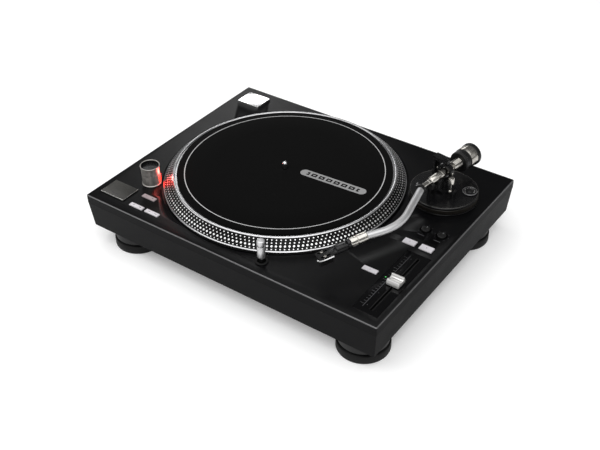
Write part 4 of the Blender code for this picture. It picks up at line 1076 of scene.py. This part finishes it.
# %% Headshell
nose = Vector(joints["headshell_pull"]["axis"]).normalized()
shell_x = nose.cross(Vector((0, 0, 1))).normalized() * -1
shell_y = -nose
shell_z = shell_x.cross(shell_y)
shell_turn = Matrix((shell_x, shell_y, shell_z)).transposed().to_4x4()
shell = Matrix.Translation(Vector(collar["pos_m"])) @ shell_turn
along_shell = shell @ Matrix.Rotation(math.radians(-90), 4, "X")
outline = [
    (5.2, -21.0), (5.7, -21.0), (6.0, -20.7), (6.1, -20.2), (6.1, -12.6), (5.9, -12.3),
    (5.9, -11.9), (6.5, -11.4), (6.5, 0.8), (6.2, 1.4), (5.8, 1.8), (5.2, 1.8),
]
shape = ribbed(lathe(outline, 96, hollow=True), 48, 0.2, 6.3, -11.2, 0.6)
stand_in("locking_collar", "locking_collar_turned", moved(shape, along_shell), chrome, sharp=25)
refined("headshell", black_anodised, 0.3)
refined("cartridge", black_plastic, 0.25)
refined("stylus", white_plastic, 0.15)
lift_line = [
    (9.1, -48, -1.6), (9.2, -52, -1.5), (9.3, -56, -1.4), (9.4, -59.5, -1.2), (9.5, -62, -0.9),
    (9.6, -65, -0.3), (9.65, -67.2, 0.6), (9.7, -68.7, 1.8), (9.75, -69.5, 2.9),
]
lift_bar = bar([Vector(p) * MM for p in lift_line], 0.9 * MM, 16)
root = rounded_block((7.6, -51.5, -2.3), (9.5, -47.2, -0.9), 0.25, 2)
stand_in("finger_lift", "finger_lift_bent", moved(joined(lift_bar, root), shell), dot_metal, sharp=50)
wire_looks = {"red": "#a3201a", "white": "#d8d6d0", "green": "#1f7a3a", "blue": "#23479c"}
for i, (colour, value) in enumerate(wire_looks.items()):
    x = -2.4 + 1.6 * i
    wire_line = [
        (x * 0.6, -25.6, -3.2), (x * 0.9, -29.5, -4.6), (x * 1.1, -35, -5.5), (x * 1.2, -41, -5.5),
        (x * 1.2, -47.4, -5.2),
    ]
    insulation = finish(f"{colour}_wire_enamel", value, value, 0.4, grain=0.3, relief=0.01)
    piece(f"{colour}_lead", moved(bar([Vector(p) * MM for p in wire_line], 0.35 * MM, 8), shell), insulation,
          "headshell", sharp=60)
for x in (-4.4, 4.4):
    head = moved(slotted_screw(1.9, 0.9), shell @ Matrix.Translation(Vector((x, -57, -0.25)) * MM))
    piece(f"cartridge_screw_{'left' if x < 0 else 'right'}", head, chrome, "headshell")
print("headshell points", [round(c, 3) for c in nose])

# %% [markdown]
# ## The counterweight
#
# The weight screws along a ribbed shaft. Its front carries a black ring with the scale of
# tracking force, and its back a rubber band for grip. Between them the steel is ground bright.

# %% Counterweight
outline = [(0, 12.4), (6.3, 12.4)]
for i in range(16):
    start = 14.0 + 2.0 * i
    outline += [(6.3, start), (6.0, start + 0.5), (6.0, start + 1.0), (6.3, start + 1.5)]
outline += [(6.3, 45.6), (5.6, 46.4), (0, 46.4)]
stand_in(
    "counterweight_shaft", "rear_shaft_turned", moved(lathe(outline, 64), along_arm), chrome, sharp=25
)
outline = [
    (6.8, 27.5), (12.6, 27.5), (13.2, 27.7), (13.9, 28.6), (14.0, 29.0), (14.0, 36.6), (13.7, 37.0),
    (6.8, 37.0),
]
stand_in(
    "force_dial", "force_dial_turned", moved(lathe(outline, 96, hollow=True), along_arm), black_plastic
)
strokes = bmesh.new()
for i in range(40):
    turn = Matrix.Rotation(math.tau * i / 40, 4, "Y")
    half = 1.6 if i % 5 == 0 else 0.9
    place = arm @ turn @ Matrix.Translation(Vector((0, 30.2 + half, 14.03)) * MM)
    place = place @ Matrix.Diagonal((0.2 * MM, half * MM, 1, 1))
    bmesh.ops.create_grid(strokes, x_segments=1, y_segments=1, size=1.0, matrix=place)
piece("force_scale", strokes, grey_ink, "force_dial")
outline = [
    (6.8, 37.3), (13.4, 37.3), (14.2, 37.8), (14.6, 38.6), (14.6, 51.6), (14.9, 52.0), (15.3, 52.3),
    (15.4, 52.7), (15.4, 57.2), (15.1, 58.0), (14.2, 58.5), (11.0, 58.5), (10.6, 58.1), (0, 58.0),
    (0, 56.0), (6.8, 56.0),
]
shape = lathe(outline, 96, hollow=True)
paint(shape, 1, lambda at, way: at.z > 51.7 and at.xy.length > 10.8)
paint(shape, 1, lambda at, way: at.z < 39.0 and at.xy.length > 12.5)
stand_in(
    "counterweight", "counterweight_ground", moved(shape, along_arm), [ground_steel, black_plastic]
)

# %% [markdown]
# ## The back and the inside
#
# The back has a mains inlet, a pair of signal sockets with a white and a red ring, and a screw
# for the earth wire. The cords are left out: they plug in, and are not part of the deck.

# %% Back and electronics
refined("power_inlet", black_plastic, 0.3)
refined("rear_panel", black_plastic, 0.3)
for node, ring_finish in (("rca_socket_left", white_plastic), ("rca_socket_right", red_plastic)):
    refined(node, brass, 0.15)
    low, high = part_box(node)
    shape = lathe([(4.4, 0), (6.0, 0), (6.0, 1.4), (5.6, 1.8), (4.4, 1.8)], 40, hollow=True)
    turn = Matrix.Rotation(math.radians(-90), 4, "X")
    place = Matrix.Translation((middle(node).x, low.y + 1.85 * MM, middle(node).z)) @ turn
    piece(node + "_ring", moved(shape, place), ring_finish, "chassis")
refined("ground_terminal", chrome, 0.2)
refined("main_board", board_lacquer, 0.1)
refined("power_supply", zinc, 0.3)
print("shown CAD nodes left:", [n for n, o in frame["nodes"].items() if not o.hide_render])

# %% [markdown]
# The strobe's red light falls on the dots in front of its window. A small red light just outside
# the window makes that glow, which a glowing lens alone is too small to do.

# %% Strobe glow
glow_way = Matrix.Rotation(math.radians(facing_platter), 4, "Z") @ Vector((1, 0, 0))
glow = bpy.data.lights.new("strobe_glow", "POINT")
glow.color = (1.0, 0.14, 0.12)
glow.energy = 0.022
glow.shadow_soft_size = 4.0 * MM
glow_lamp = bpy.data.objects.new("strobe_glow", glow)
glow_lamp.location = Vector((tower.x, tower.y, (DECK + 15.0) * MM)) + glow_way * 20.0 * MM
glow_lamp.visible_camera = False
bpy.context.scene.collection.objects.link(glow_lamp)
print("glow power:", glow.energy, "W")

# %% Write the sizes and finish
view_low, view_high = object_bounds()
corners = zip([*cad_low, *view_high], [*view_low, *cad_high])
print("grown by mm:", [round(1000 * (b - a), 2) for a, b in corners])
